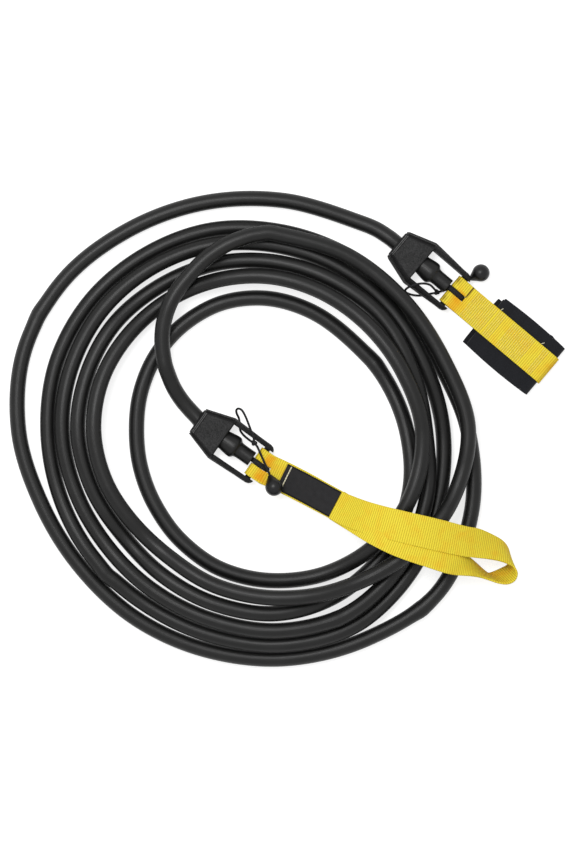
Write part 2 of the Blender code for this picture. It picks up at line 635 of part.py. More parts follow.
# Hand strap: (x, y, z) from bar B, then the direction of the webbing's width
SEWN_LAYERS = (
    (14.0, 1.0, 2.0), (22.0, 2.4, 1.2), (34.0, 4.2, 1.4), (46.0, 5.8, 2.8),
    (58.0, 7.2, 5.2), (69.7, 8.6, 8.6),
)
HAND_LOOP = (
    (80.0, 10.2, 14.6, -0.17, 0.98, 0.0), (96.0, 14.6, 26.0, -0.28, 0.96, 0.0),
    (117.0, 22.6, 33.8, -0.33, 0.94, 0.0), (137.0, 30.4, 34.8, -0.35, 0.94, 0.0),
    (156.4, 38.6, 31.6, -0.33, 0.94, 0.0), (178.0, 46.0, 24.3, -0.2, 0.97, 0.1),
    (193.0, 49.5, 17.5, -0.1, 0.95, 0.25), (204.0, 48.5, 11.5, 0.25, 0.75, 0.6),
    (211.0, 42.0, 6.5, 0.55, 0.35, 0.75), (211.0, 33.0, 3.5, 0.6, 0.0, 0.8),
    (201.0, 27.9, 5.4, 0.1, -0.15, 0.98), (187.0, 23.4, 11.0, -0.05, 0.4, 0.9),
    (172.0, 22.0, 18.1, -0.15, 0.8, 0.55), (150.0, 18.6, 27.1, -0.2, 0.96, 0.1),
    (128.0, 14.0, 29.0, -0.18, 0.98, 0.0), (106.0, 11.0, 25.7, -0.12, 0.99, 0.0),
    (88.0, 9.8, 14.5, -0.1, 0.99, 0.0), (78.0, 9.2, 9.2, -0.1, 0.99, 0.0),
    (71.2, 8.8, 6.9, -0.1, 0.99, 0.0),
)


def sewn_layer(drop):
    """Stations of one of the two sewn layers, this far below the upper one."""
    points = np.array([(x, y, z - drop) for x, y, z in SEWN_LAYERS])
    way = directions(points)
    return [(*p, -w[1], w[0], 0.0) for p, w in zip(points, way)]


def make_strap_b(parent):
    """One webbing: sewn layers and wrap round the bar, then the open hand loop."""
    stations = sewn_layer(LAYER_STEP)[::-1]
    stations += flat_stations(bar_wrap(SEWN_LAYERS[0][2] - LAYER_STEP, SEWN_LAYERS[0][2]))
    stations += sewn_layer(0.0)
    loop = curve_through(np.array([stations[-1], *HAND_LOOP]), LOOP_STEP)
    strap = ribbon("hand_strap", np.vstack([stations[:-1], loop]), WEB_WIDTH, WEB_THICKNESS,
                   "yellow_webbing", parent)
    boolean(strap, "DIFFERENCE", slit("b", parent))
    upper = np.vstack([sewn_layer(0.0)[:-1], loop[:LABEL_STATIONS]])
    at = np.linspace(LABEL_START, LABEL_START + LABEL_LENGTH, LABEL_STATIONS)
    on_label = np.column_stack([np.interp(at, upper[:, 0], column) for column in upper.T])
    lift = WEB_THICKNESS / 2 + TOUCH + LABEL_THICKNESS / 2
    ribbon("label", on_label, LABEL_WIDTH, LABEL_THICKNESS, "label_fabric", parent, lift)
    spot = np.array([np.interp(LABEL_START + LABEL_THREAD_INSET, upper[:, 0], column)
                     for column in upper.T])
    ahead = np.array([spot[4], -spot[3], 0.0])
    thread = [np.concatenate([spot[:3] + ahead * run, spot[3:]])
              for run in (0.0, THREAD_WIDTH / 2, THREAD_WIDTH)]
    ribbon("label_thread", thread, LABEL_WIDTH - 2 * LABEL_MARGIN, THREAD_HEIGHT, "cream_thread",
           parent, lift + LABEL_THICKNESS / 2 + TOUCH + THREAD_HEIGHT / 2)


# Toggle cords in their frame: from the knot round the arm, and from the knot to the ball
LOOP_A = (
    (49.1, -8.3, -4.0), (47.6, -8.6, -2.4), (44.6, -8.4, 1.2), (41.0, -8.8, 5.2),
    (36.6, -11.4, 7.4), (32.4, -16.0, 8.0), (29.8, -20.6, 6.5), (29.0, -24.0, 3.0),
    (30.6, -25.0, -1.6), (34.8, -23.6, -5.8), (39.5, -20.6, -8.0), (43.6, -16.6, -8.5),
    (46.8, -12.4, -7.6), (49.0, -10.0, -5.9),
)
KNOT_A = (49.5, -8.8, -5.0)
TAIL_A = ((52.4, -5.0, -7.8), (56.0, 1.5, -8.5), (59.5, 8.5, -8.5), (62.0, 13.6, -8.3))
BALL_A = (66.6, 25.5, -2.5)
LOOP_B = (
    (46.9, 12.6, 9.6), (44.3, 15.4, 8.3), (40.1, 18.2, 8.1), (35.5, 21.4, 8.1),
    (29.9, 25.0, 7.2), (24.8, 27.4, 5.2), (21.6, 27.0, 2.0), (20.8, 25.0, -1.8),
    (22.6, 22.8, -5.4), (26.0, 20.8, -7.9), (29.4, 17.2, -8.4), (32.4, 13.6, -8.3),
    (35.4, 12.2, -5.4), (38.8, 11.6, -0.8), (42.6, 11.4, 4.0), (46.9, 11.3, 8.0),
)
KNOT_B = (47.6, 11.8, 8.9)
TAIL_B = ((51.6, 10.6, 8.2), (56.3, 7.7, 6.7), (61.5, 4.6, 5.6), (66.2, 2.2, 5.0))
BALL_B = (80.8, -8.1, 9.9)


def make_toggle(letter, frame, tail_on, ball_on, loop, knot, tail, ball):
    """A thin cord looped round the frame's arm and knotted, its tail, and the ball.

    Points are in the frame's own axes. tail_on and ball_on are a parent and its place
    in the frame.
    """
    radius = TOGGLE_CORD_DIAMETER / 2
    knot, tail, ball = np.array(knot), np.array(tail), np.array(ball)
    cord = carried_tube(f"toggle_cord_{letter}", curve_through(loop, CORD_STEP), radius, frame)
    tied = turned(f"toggle_knot_{letter}", ball_profile(KNOT_DIAMETER, 6), 8, "line_cord",
                  frame, knot, KNOT_LEAN, True)
    boolean(cord, "UNION", tied)
    out = (tail[0] - knot) / np.linalg.norm(tail[0] - knot)
    first = knot + out * (KNOT_DIAMETER / 2 + TOUCH)
    toward = (tail[-1] - ball) / np.linalg.norm(tail[-1] - ball)
    last = ball + toward * (BALL_NECK + TOUCH)
    run = curve_through([first, *tail[:-1], last + toward * TOGGLE_CORD_DIAMETER, last], CORD_STEP)
    carried_tube(f"toggle_tail_{letter}", run - tail_on[1], radius, tail_on[0])
    profile = [(x, r) for x, r in ball_profile(BALL_DIAMETER, 12) if x < BALL_SHOULDER]
    profile += [(BALL_NECK - BALL_COLLAR, BALL_NECK_DIAMETER * 0.7),
                (BALL_NECK, BALL_NECK_DIAMETER / 2), (BALL_NECK, 0.0)]
    turned(f"toggle_ball_{letter}", profile, 18, "toggle_plastic", ball_on[0], ball - ball_on[1],
           toward)


def carried_tube(name, path, radius, parent):
    """A thin tube whose rings are carried along the path without twisting."""
    way = directions(path)
    side = np.cross(way[0], (0.31, 0.27, 0.91))
    sides = 6
    turn = 2 * math.pi * np.arange(sides) / sides
    rings = []
    for spot, ahead in zip(path, way):
        side = side - ahead * np.dot(side, ahead)
        side = side / np.linalg.norm(side)
        up = np.cross(side, ahead)
        rings.append(spot + radius * (np.cos(turn)[:, None] * side + np.sin(turn)[:, None] * up))
    return solid(name, np.vstack(rings), rings_to_faces(len(path), sides), "line_cord", parent)


def ball_profile(diameter, steps):
    """Half circle from one pole to the other, as (distance along, radius)."""
    radius = diameter / 2
    return [(-radius * math.cos(math.pi * k / steps), radius * math.sin(math.pi * k / steps))
            for k in range(steps + 1)]


def main():
    """Build the whole cord."""
    for thing in list(bpy.data.objects):
        bpy.data.objects.remove(thing, do_unlink=True)
    make_tube()
    frame_a = empty("frame_a_axis", (*FRAME_A_PLACE[:2], AXIS_HEIGHT), FRAME_A_PLACE[2])
    frame_b = empty("frame_b_axis", (*FRAME_B_PLACE[:2], AXIS_HEIGHT), FRAME_B_PLACE[2])
    for letter, parent in (("a", frame_a), ("b", frame_b)):
        make_frame(letter, parent)
        make_tube_end(letter, parent)
        bar = empty(f"bar_{letter}_axis", (BAR_AT, 0.0, 0.0), 0.0, parent)
        make_line_tail(letter, bar)
        if letter == "a":
            make_strap_a(bar)
            low = FLAP_LEVEL - CUFF_THICKNESS / 2
            flap = empty("cuff_flap_axis", (HINGE_AT, 0.0, low), 0.0, bar)
            make_cuff(bar, flap)
            swing = (empty("toggle_a_axis", KNOT_A, 0.0, parent), KNOT_A)
            make_toggle("a", parent, swing, swing, LOOP_A, KNOT_A, TAIL_A, BALL_A)
        else:
            make_strap_b(bar)
            still = (parent, (0.0, 0.0, 0.0))
            on_strap = (bar, (BAR_AT, 0.0, 0.0))
            make_toggle("b", parent, still, on_strap, LOOP_B, KNOT_B, TAIL_B, BALL_B)


main()
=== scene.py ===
"""Swim resistance cord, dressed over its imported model.

A coiled black rubber tube ends in two moulded stirrup frames, one with a yellow strap
sewn over a cuff and one with a yellow hand loop. Lengths are metres, z = 0 is the floor.
"""
import math

import bmesh
import bpy
import numpy as np
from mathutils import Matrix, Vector


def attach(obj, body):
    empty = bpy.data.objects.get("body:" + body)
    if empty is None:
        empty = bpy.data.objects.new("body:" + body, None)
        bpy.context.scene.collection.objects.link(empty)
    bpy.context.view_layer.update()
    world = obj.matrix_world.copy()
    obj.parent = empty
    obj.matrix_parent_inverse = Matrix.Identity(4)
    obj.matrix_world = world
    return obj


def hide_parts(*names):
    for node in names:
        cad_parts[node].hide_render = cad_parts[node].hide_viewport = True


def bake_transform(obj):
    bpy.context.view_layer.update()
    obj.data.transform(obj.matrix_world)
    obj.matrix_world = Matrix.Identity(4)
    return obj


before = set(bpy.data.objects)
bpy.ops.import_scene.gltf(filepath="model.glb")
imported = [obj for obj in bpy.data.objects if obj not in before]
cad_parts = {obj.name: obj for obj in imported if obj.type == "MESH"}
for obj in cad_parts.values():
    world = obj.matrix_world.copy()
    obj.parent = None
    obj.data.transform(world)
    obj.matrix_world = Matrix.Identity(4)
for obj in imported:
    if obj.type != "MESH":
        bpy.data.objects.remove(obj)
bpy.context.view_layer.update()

# The photographer's table: a white sheet under soft daylight from all round, with one wide
# soft lamp above. The lens looks straight down from 2.2 m over the picture's middle.
PICTURE_MIDDLE = (-0.0743, -0.01294)
PICTURE_HEIGHT = 0.684
LENS_HEIGHT = 2.2
SUBJECT_HEIGHT = 0.0095
FILM_HEIGHT = 36.0
SHEET_HALF = 4.0
SHEET_TOP = -0.0004
PAPER_GREY = 0.55
PAPER_GLOW = 0.74
DAYLIGHT = 0.55
LAMP_PLACE = (-0.36, 0.32, 1.3)
LAMP_SIZE = (0.55, 0.45)
LAMP_WATTS = 10.0
WHITE = (1.0, 1.0, 1.0, 1.0)


def placed(name, data):
    """A new object at the origin of the scene, made from a mesh, a camera or a lamp."""
    piece = bpy.data.objects.new(name, data)
    bpy.context.scene.collection.objects.link(piece)
    return piece


camera = placed("camera", bpy.data.cameras.new("camera"))
bpy.context.scene.camera = camera
camera.location = (*PICTURE_MIDDLE, LENS_HEIGHT)
camera.data.sensor_fit = "VERTICAL"
camera.data.sensor_height = FILM_HEIGHT
camera.data.lens = FILM_HEIGHT * (LENS_HEIGHT - SUBJECT_HEIGHT) / PICTURE_HEIGHT
camera.data.clip_start = 0.01
camera.data.clip_end = 20.0
bpy.context.scene.view_settings.view_transform = "Standard"


class Signal:
    """A shader value that is written like a number, as in 0.3 + 0.16 * lines."""

    def __init__(self, tree, socket):
        self.tree = tree
        self.socket = socket

    def feed(self, slot):
        """Links the value to a node's input."""
        self.tree.links.new(self.socket, slot)

    def worked(self, operation, *terms):
        """A Math node's result from its terms, each a Signal or a number."""
        step = self.tree.nodes.new("ShaderNodeMath")
        step.operation = operation
        for slot, term in zip(step.inputs, terms):
            if isinstance(term, Signal):
                term.feed(slot)
            else:
                slot.default_value = term
        return Signal(self.tree, step.outputs[0])

    def __add__(self, other):
        return self.worked("ADD", self, other)

    def __sub__(self, other):
        return self.worked("SUBTRACT", self, other)

    def __rsub__(self, other):
        return self.worked("SUBTRACT", other, self)

    def __mul__(self, other):
        return self.worked("MULTIPLY", self, other)

    def __pow__(self, power):
        return self.worked("POWER", self, power)

    def __abs__(self):
        return self.worked("ABSOLUTE", self)

    def or_more(self, least):
        """The larger of the two."""
        return self.worked("MAXIMUM", self, least)

    def or_less(self, most):
        """The smaller of the two."""
        return self.worked("MINIMUM", self, most)

    def past(self, limit):
        """1 where the value is over the limit, else 0."""
        return self.worked("GREATER_THAN", self, limit)

    def waves(self, pitch):
        """sin(2 pi value / pitch), from -1 to 1."""
        return self.worked("SINE", self * (2 * math.pi / pitch))

    __radd__ = __add__
    __rmul__ = __mul__


def seen_directly(tree):
    """1 for rays from the camera and for mirrored or refracted ones, else 0."""
    path = tree.nodes.new("ShaderNodeLightPath")
    seen, mirrored, refracted = (Signal(tree, path.outputs[kind]) for kind in (
        "Is Camera Ray", "Is Glossy Ray", "Is Transmission Ray"))
    return seen.or_more(mirrored).or_more(refracted)


def white_sheet_material():
    """White paper that keeps shadows: diffuse, plus a little light of its own to be seen by."""
    made = bpy.data.materials.new("white_paper")
    made.use_nodes = True
    tree = made.node_tree
    tree.nodes.clear()
    out = tree.nodes.new("ShaderNodeOutputMaterial")
    paper = tree.nodes.new("ShaderNodeBsdfDiffuse")
    paper.inputs["Color"].default_value = (PAPER_GREY, PAPER_GREY, PAPER_GREY, 1.0)
    glow = tree.nodes.new("ShaderNodeEmission")
    glow.inputs["Color"].default_value = WHITE
    (seen_directly(tree) * PAPER_GLOW).feed(glow.inputs["Strength"])
    both = tree.nodes.new("ShaderNodeAddShader")
    tree.links.new(paper.outputs[0], both.inputs[0])
    tree.links.new(glow.outputs[0], both.inputs[1])
    tree.links.new(both.outputs[0], out.inputs["Surface"])
    return made


sheet = bpy.data.meshes.new("white_sheet")
sheet.from_pydata([(x * SHEET_HALF, y * SHEET_HALF, SHEET_TOP)
                   for x, y in ((-1, -1), (1, -1), (1, 1), (-1, 1))], [], [(0, 1, 2, 3)])
sheet.materials.append(white_sheet_material())
white_sheet = placed("white_sheet", sheet)

sky = bpy.data.worlds.new("white_room")
bpy.context.scene.world = sky
sky.use_nodes = True
room = sky.node_tree.nodes["Background"]
room.inputs["Color"].default_value = WHITE
share = sky.node_tree.nodes.new("ShaderNodeMapRange")
share.inputs["To Min"].default_value = DAYLIGHT
share.inputs["To Max"].default_value = 1.0
seen_directly(sky.node_tree).feed(share.inputs["Value"])
sky.node_tree.links.new(share.outputs[0], room.inputs["Strength"])

lamp = bpy.data.lights.new("wide_soft_lamp", "AREA")
lamp.shape = "RECTANGLE"
lamp.size, lamp.size_y = LAMP_SIZE
lamp.energy = LAMP_WATTS
wide_lamp = placed("wide_soft_lamp", lamp)
wide_lamp.location = LAMP_PLACE
towards_lamp = Vector(LAMP_PLACE) - Vector((*PICTURE_MIDDLE, 0.0))
wide_lamp.rotation_euler = towards_lamp.to_track_quat("Z", "Y").to_euler()

# The rubber tube: black latex-like rubber, 12.5 mm thick, drawn hollow over a safety line. It
# leaves frame A, lies in six rough turns on itself, and climbs over them into frame B.
TUBE_RADIUS = 0.00625
LAYER_REACH = 0.0144
LEAD_REACH = 0.0156
CLIMB = 0.17
MOST_LAYERS = 12
SAME_TURN = 48
STEPS_A_TURN = 120
ROUTE_STEP = 0.003
STUB = 0.0033
STRAIGHT_RUN = 0.003
AXIS_HEIGHT = 0.0095
TUCKED_IN = 0.006
TUBE_SIDES = 24
# Each frame's mouth in plan, and the bearing in degrees in which the frame points
FRAME_A_PLACE = (0.0152, 0.13416, -40.0)
FRAME_B_PLACE = (-0.1446, -0.00754, -35.0)
# The strand's distance in millimetres from the coil's middle, every 20 degrees from 60 on
COIL_MIDDLE = (-0.1063, -0.01494)
FIRST_BEARING = 60.0
BEARING_STEP = 20.0
COIL_RADII = (
    (190.5, 186.5, 185.0, 185.5, 188.5, 188.0, 181.5, 173.5, 171.5, 174.5,
     179.0, 186.0, 193.5, 202.0, 193.0),
    (178.5, 164.5, 163.0, 162.0, 161.5, 162.5, 161.5, 161.5, 160.5, 158.0,
     157.5, 158.5, 160.5, 166.0, 174.0, 179.5, 174.5, 165.0),
    (158.5, 152.5, 151.0, 150.0, 149.5, 150.0, 149.5, 149.0, 147.5, 146.0,
     144.0, 144.0, 147.5, 153.5, 162.0, 167.5, 163.5, 154.5),
    (144.0, 141.0, 141.0, 138.0, 136.0, 135.0, 134.0, 134.5, 133.5, 133.0,
     130.5, 129.0, 133.0, 140.0, 148.0, 151.0, 148.5, 140.0),
    (129.0, 119.5, 111.5, 109.0, 107.0, 103.5, 98.0, 93.0, 89.0, 87.0,
     89.0, 94.0, 102.5, 113.0, 122.5, 132.0, 139.0, 142.0),
    (141.0, 133.5, 128.5, 125.5, 123.5, 121.5, 120.5, 120.0, 120.5, 120.0,
     118.0, 116.0, 118.0, 126.0, 135.0, 146.5, 160.0, 173.5),
    (178.0, 167.5, 163.0, 161.0, 157.5),
)
# The last stretch in plan, and the slanting way down on which it then enters frame B
LEAD_POINTS = (
    (-0.095, 0.1406), (-0.1085, 0.1372), (-0.1225, 0.1312), (-0.138, 0.1205),
    (-0.1515, 0.1065), (-0.1619, 0.0927), (-0.1683, 0.079), (-0.1716, 0.065), (-0.1719, 0.051),
    (-0.1694, 0.0355), (-0.1636, 0.0198), (-0.1564, 0.0066),
)
SLANTED_END = (
    (-0.1637, 0.0202, 0.0153), (-0.1572, 0.0094, 0.0118), (-0.1503, 0.0011, 0.0100),
    (-0.1448, -0.0047, 0.0095),
)


def lengths_along(path):
    """Distance run from the path's first point to each of its points."""
    return np.concatenate([[0.0], np.cumsum(np.linalg.norm(np.diff(path, axis=0), axis=1))])


def smooth_path(points, step):
    """Catmull-Rom curve through the points, evenly spaced by about the step.

    Between b and c it is (2b + (c-a)t + (2a-5b+4c-d)t^2 + (3b-a-3c+d)t^3) / 2.
    """
    points = np.asarray(points, float)
    ends = np.vstack([2 * points[0] - points[1], points, 2 * points[-1] - points[-2]])
    a, b, c, d = (ends[k:len(ends) - 3 + k][:, None] for k in range(4))
    t = np.linspace(0, 1, 24, endpoint=False)[None, :, None]
    fine = 0.5 * (2 * b + (c - a) * t + (2 * a - 5 * b + 4 * c - d) * t ** 2
                  + (3 * b - a - 3 * c + d) * t ** 3)
    fine = np.vstack([fine.reshape(-1, points.shape[1]), points[-1:]])
    run = lengths_along(fine[:, :3])
    at = np.linspace(0, run[-1], max(2, round(run[-1] / step) + 1))
    return np.column_stack([np.interp(at, run, column) for column in fine.T])


def stood_in(place, points):
    """World points from (along, across, above the tube's axis) in a frame, in metres."""
    turn = math.radians(place[2])
    along, across, up = np.moveaxis(np.asarray(points, float), -1, 0)
    return np.stack([place[0] + along * math.cos(turn) - across * math.sin(turn),
                     place[1] + along * math.sin(turn) + across * math.cos(turn),
                     AXIS_HEIGHT + up], axis=-1)


def settled_heights(plan, lead_from):
    """Heights of the strands as they come to rest.

    Each point is as high as the floor, or as the strand laid under it plus what is left of
    the reach: sqrt(reach^2 - sideways distance^2). A climb bends no sharper than a parabola.
    """
    reach = np.full((len(plan), 1), LAYER_REACH)
    reach[lead_from:] = LEAD_REACH
    run = lengths_along(plan)
    apart = np.linalg.norm(plan[:, None] - plan[None], axis=2)
    earlier = np.arange(len(plan))[:, None] - np.arange(len(plan))[None] > SAME_TURN
    lift = np.sqrt(np.maximum(reach ** 2 - apart ** 2, 0))
    lift[~earlier | (apart >= reach)] = -np.inf
    bend = (run[:, None] - run[None]) ** 2 / CLIMB
    at_frame = (run < 1.1 * STRAIGHT_RUN) | (run > run[-1] - 1.1 * STRAIGHT_RUN)
    floor = np.where(at_frame, AXIS_HEIGHT, TUBE_RADIUS)
    height = floor
    for layer in range(MOST_LAYERS):
        raised = np.maximum(floor, (height[None] + lift).max(axis=1))
        height = np.maximum((raised[None] - bend).max(axis=1), TUBE_RADIUS)
    soft = np.convolve(np.pad(height, 2, mode="edge"), np.ones(5) / 5, mode="valid")
    return np.where(at_frame, AXIS_HEIGHT, soft)


def tube_route():
    """The tube's centre line from mouth to mouth of the two frames.

    In plan it is a smooth curve through the radii, turn by turn, and then through the lead's
    points. Each of its points gets its settled height, and the slanted end comes last.
    """
    radii = np.array([r for turn in COIL_RADII for r in turn]) * 0.001
    angle = np.radians(FIRST_BEARING + BEARING_STEP * np.arange(len(radii)))
    coil = np.column_stack([COIL_MIDDLE[0] + radii * np.cos(angle),
                            COIL_MIDDLE[1] + radii * np.sin(angle)])
    start, start_in, finish, finish_in = (
        stood_in(place, (-back, 0.0, 0.0))[:2] for place in (FRAME_A_PLACE, FRAME_B_PLACE)
        for back in (STUB, STUB + STRAIGHT_RUN))
    first = int(np.argmax(np.linalg.norm(coil - start_in, axis=1) > 2 * STRAIGHT_RUN))
    lead = np.array(LEAD_POINTS)
    lead = lead[np.linalg.norm(lead - finish_in, axis=1) > 2 * STRAIGHT_RUN]
    plan = np.vstack([start, start_in, coil[first:], lead, finish_in, finish])
    plan = smooth_path(plan, 2 * math.pi * radii.mean() / STEPS_A_TURN)
    middle = np.linalg.norm(plan - start, axis=1) > 1.3 * STRAIGHT_RUN
    middle &= np.linalg.norm(plan - finish, axis=1) > 1.3 * STRAIGHT_RUN
    plan = np.vstack([start, start_in, plan[middle], finish_in, finish])
    late = len(plan) * 3 // 4
    split = late + int(np.argmin(np.linalg.norm(plan[late:] - coil[-1], axis=1)))
    path = np.column_stack([plan, settled_heights(plan, split)])
    apart = np.linalg.norm(path[late:, :2] - SLANTED_END[0][:2], axis=1)
    leave = late + int(np.argmin(apart)) - 1
    mouth_a, mouth_b = (stood_in(place, (TUCKED_IN, 0.0, 0.0))
                        for place in (FRAME_A_PLACE, FRAME_B_PLACE))
    return smooth_path(np.vstack([mouth_a, path[:leave], SLANTED_END, mouth_b]), ROUTE_STEP)


def headings(path):
    """Unit direction of a path at each of its points."""
    way = np.gradient(path, axis=0)
    return way / np.linalg.norm(way, axis=1, keepdims=True)


def hump(at, middle, reach):
    """1 at the middle, falling off as exp(-((at - middle) / reach)^2)."""
    return np.exp(-((at - middle) / reach) ** 2)


def circle(first, second, count):
    """A ring of points at each station: first direction cos a + second direction sin a."""
    a = 2 * np.pi * np.arange(count) / count
    return np.cos(a)[:, None] * first[:, None] + np.sin(a)[:, None] * second[:, None]


def round_section(path, radius, count):
    """Rings round a path that is never upright: centre + r (cos a side + sin a up)."""
    way = headings(path)
    side = np.cross(way, (0.0, 0.0, 1.0))
    side /= np.linalg.norm(side, axis=1, keepdims=True)
    r = np.broadcast_to(np.asarray(radius, float), (len(path), count))[..., None]
    return path[:, None] + r * circle(side, np.cross(side, way), count)


def cell_corners(values):
    """A grid's values at the four corners of each of its cells, in order round the cell."""
    return np.stack([values[..., :-1, :-1], values[..., :-1, 1:], values[..., 1:, 1:],
                     values[..., 1:, :-1]], axis=-1)


def woven_grid(name, grid, material, around=True, along=None, girth=1.0):
    """A mesh from a grid of points, rows along it and columns round it; a tube is capped.

    The UV map holds metres run along the rows, and metres round the columns from 0 to girth.
    """
    rows, columns = grid.shape[:2]
    index = np.arange(rows * columns).reshape(rows, columns)
    if around:
        index = np.hstack([index, index[:, :1]])
    if along is None:
        along = lengths_along(grid.mean(axis=1))
    u, v = np.meshgrid(along, np.linspace(0, girth, index.shape[1]), indexing="ij")
    faces = cell_corners(index).reshape(-1, 4).tolist()
    uv = np.stack([cell_corners(u), cell_corners(v)], axis=-1).reshape(-1, 2)
    if around:
        faces += [index[0, :-1][::-1].tolist(), index[-1, :-1].tolist()]
        uv = np.vstack([uv, np.zeros((2 * columns, 2))])
    mesh = bpy.data.meshes.new(name)
    mesh.from_pydata(grid.reshape(-1, 3).tolist(), [], faces)
    layer = mesh.uv_layers.new(name="along_and_round")
    layer.data.foreach_set("uv", uv.astype(np.float32).ravel())
    mesh.shade_smooth()
    mesh.materials.append(material)
    return placed(name, mesh)


class Effect:
    """A node group for a kind of surface, used by each material with its own colours.

    A place, a painted shade value and the named colours go in. A colour, a roughness and a height
    come out.
    """

    def __init__(self, name, *colours):
        self.tree = bpy.data.node_groups.new(name, "ShaderNodeTree")
        for way, label, kind in (("INPUT", "Place", "Vector"), ("INPUT", "Painted_shade", "Float"),
                                 *(("INPUT", colour, "Color") for colour in colours),
                                 ("OUTPUT", "Colour", "Color"), ("OUTPUT", "Roughness", "Float"),
                                 ("OUTPUT", "Height", "Float")):
            self.tree.interface.new_socket(label, in_out=way, socket_type="NodeSocket" + kind)
        self.inside = self.tree.nodes.new("NodeGroupInput")
        self.out = self.tree.nodes.new("NodeGroupOutput")
        self.painted_shade = Signal(self.tree, self.inside.outputs["Painted_shade"])

    def axes(self):
        """The place's first two axes."""
        split = self.tree.nodes.new("ShaderNodeSeparateXYZ")
        self.tree.links.new(self.inside.outputs["Place"], split.inputs[0])
        return Signal(self.tree, split.outputs["X"]), Signal(self.tree, split.outputs["Y"])

    def speckle(self, scale, detail=2.0, stretch=(1.0, 1.0, 1.0)):
        """Noise from 0 to 1 over the place, stretched along its axes."""
        mapping = self.tree.nodes.new("ShaderNodeMapping")
        mapping.inputs["Scale"].default_value = stretch
        self.tree.links.new(self.inside.outputs["Place"], mapping.inputs["Vector"])
        noise = self.tree.nodes.new("ShaderNodeTexNoise")
        noise.inputs["Scale"].default_value = scale
        noise.inputs["Detail"].default_value = detail
        self.tree.links.new(mapping.outputs[0], noise.inputs["Vector"])
        return Signal(self.tree, noise.outputs["Fac"])

    def blend(self, amount, low, high):
        """Colour from low to high as the amount goes from 0 to 1.

        Each of the two is an input's name, another blend or three numbers.
        """
        mix = self.tree.nodes.new("ShaderNodeMix")
        mix.data_type = "RGBA"
        for slot, colour in ((mix.inputs["A"], low), (mix.inputs["B"], high)):
            if isinstance(colour, str):
                self.tree.links.new(self.inside.outputs[colour], slot)
            elif isinstance(colour, Signal):
                colour.feed(slot)
            else:
                slot.default_value = (*colour, 1.0)
        amount.feed(mix.inputs["Factor"])
        return Signal(self.tree, mix.outputs["Result"])

    def give(self, colour, roughness, height):
        """Joins the three results to the group's outputs."""
        for label, value in (("Colour", colour), ("Roughness", roughness), ("Height", height)):
            value.feed(self.out.inputs[label])


def finish_of(name, effect, colours, relief, place="UV", **sockets):
    """A Principled material fed by one effect; relief is the bump's depth in metres."""
    made = bpy.data.materials.new(name)
    made.use_nodes = True
    tree = made.node_tree
    shader = tree.nodes["Principled BSDF"]
    for socket, value in sockets.items():
        shader.inputs[socket.replace("_", " ")].default_value = value
    where = tree.nodes.new("ShaderNodeTexCoord")
    surface = tree.nodes.new("ShaderNodeGroup")
    surface.node_tree = effect.tree
    tree.links.new(where.outputs[place], surface.inputs["Place"])
    painted_shade = tree.nodes.new("ShaderNodeAttribute")
    painted_shade.attribute_name = "painted_shade"
    tree.links.new(painted_shade.outputs["Fac"], surface.inputs["Painted_shade"])
    for slot, colour in zip(surface.inputs[2:], colours):
        slot.default_value = (*colour, 1.0)
    bump = tree.nodes.new("ShaderNodeBump")
    bump.inputs["Distance"].default_value = relief
    tree.links.new(surface.outputs["Height"], bump.inputs["Height"])
    tree.links.new(surface.outputs["Colour"], shader.inputs["Base Color"])
    tree.links.new(surface.outputs["Roughness"], shader.inputs["Roughness"])
    tree.links.new(bump.outputs["Normal"], shader.inputs["Normal"])
    return made


# Rubber skin: extruded, so it has faint lengthwise draw lines, soft blooms and a fine grain
rubber_skin = Effect("rubber_skin", "Deep", "Bloomed")
blooms = rubber_skin.speckle(55.0, 3.0)
draw_lines = rubber_skin.speckle(260.0, 2.0, (0.05, 6.0, 1.0))
grain = rubber_skin.speckle(2600.0, 1.0)
rubber_skin.give(rubber_skin.blend(blooms * draw_lines * 1.9, "Deep", "Bloomed"),
                 0.3 + 0.16 * draw_lines, 0.6 * draw_lines + 0.4 * grain)
black_rubber = finish_of("black_rubber", rubber_skin,
                         ((0.0035, 0.0035, 0.0034), (0.0125, 0.0125, 0.0122)), 0.00016,
                         Specular_IOR_Level=0.28)

# Where the tube was bent hard it stays bunched: total angle run round the coil, extra
# thickness, how far it reaches, and how far the kink steps outwards
BUNCHED = ((151.0, 0.00035, 0.008, 0.0006), (315.0, 0.0007, 0.0075, 0.0004),
           (586.0, 0.0004, 0.007, 0.0011), (1017.0, 0.0004, 0.008, 0.0004),
           (1468.0, 0.0004, 0.008, 0.0005))

route = tube_route()
spread = route[:, :2] - np.array(COIL_MIDDLE)
outwards = spread / np.linalg.norm(spread, axis=1, keepdims=True)
bearing = np.degrees(np.unwrap(np.arctan2(spread[:, 1], spread[:, 0])))
run = lengths_along(route)
thick = np.full((len(route), TUBE_SIDES), TUBE_RADIUS)
around = 2 * np.pi * np.arange(TUBE_SIDES) / TUBE_SIDES
bulge = 0.5 + 0.5 * np.cos(2 * around) + 0.5 * np.maximum(np.sin(around), 0)
dip = 0.35 + 0.35 * np.sin(around)
for angle, swell, reach, step in BUNCHED:
    at = run[int(np.argmin(np.abs(bearing - angle)))]
    near = hump(run, at, reach)
    fold = hump(run, at + 0.4 * reach, 0.35 * reach)
    thick += swell * (near[:, None] * bulge - fold[:, None] * dip)
    route[:, :2] += (near * step)[:, None] * outwards
rubber_tube = woven_grid("rubber_tube", round_section(route, thick, TUBE_SIDES), black_rubber,
                         girth=2 * math.pi * TUBE_RADIUS)
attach(rubber_tube, "tube")
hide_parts("tube_coil", "tube_lead_b")

# The tube's two ends, one in each frame: the same rubber, pushed over a tapered plug that
# swells it, so that it can't slip back out through the frame's mouth.
BORE_RADIUS = 0.0032
END_WALL = 0.0028
END_STEP = 0.7
END_SIDES = 40
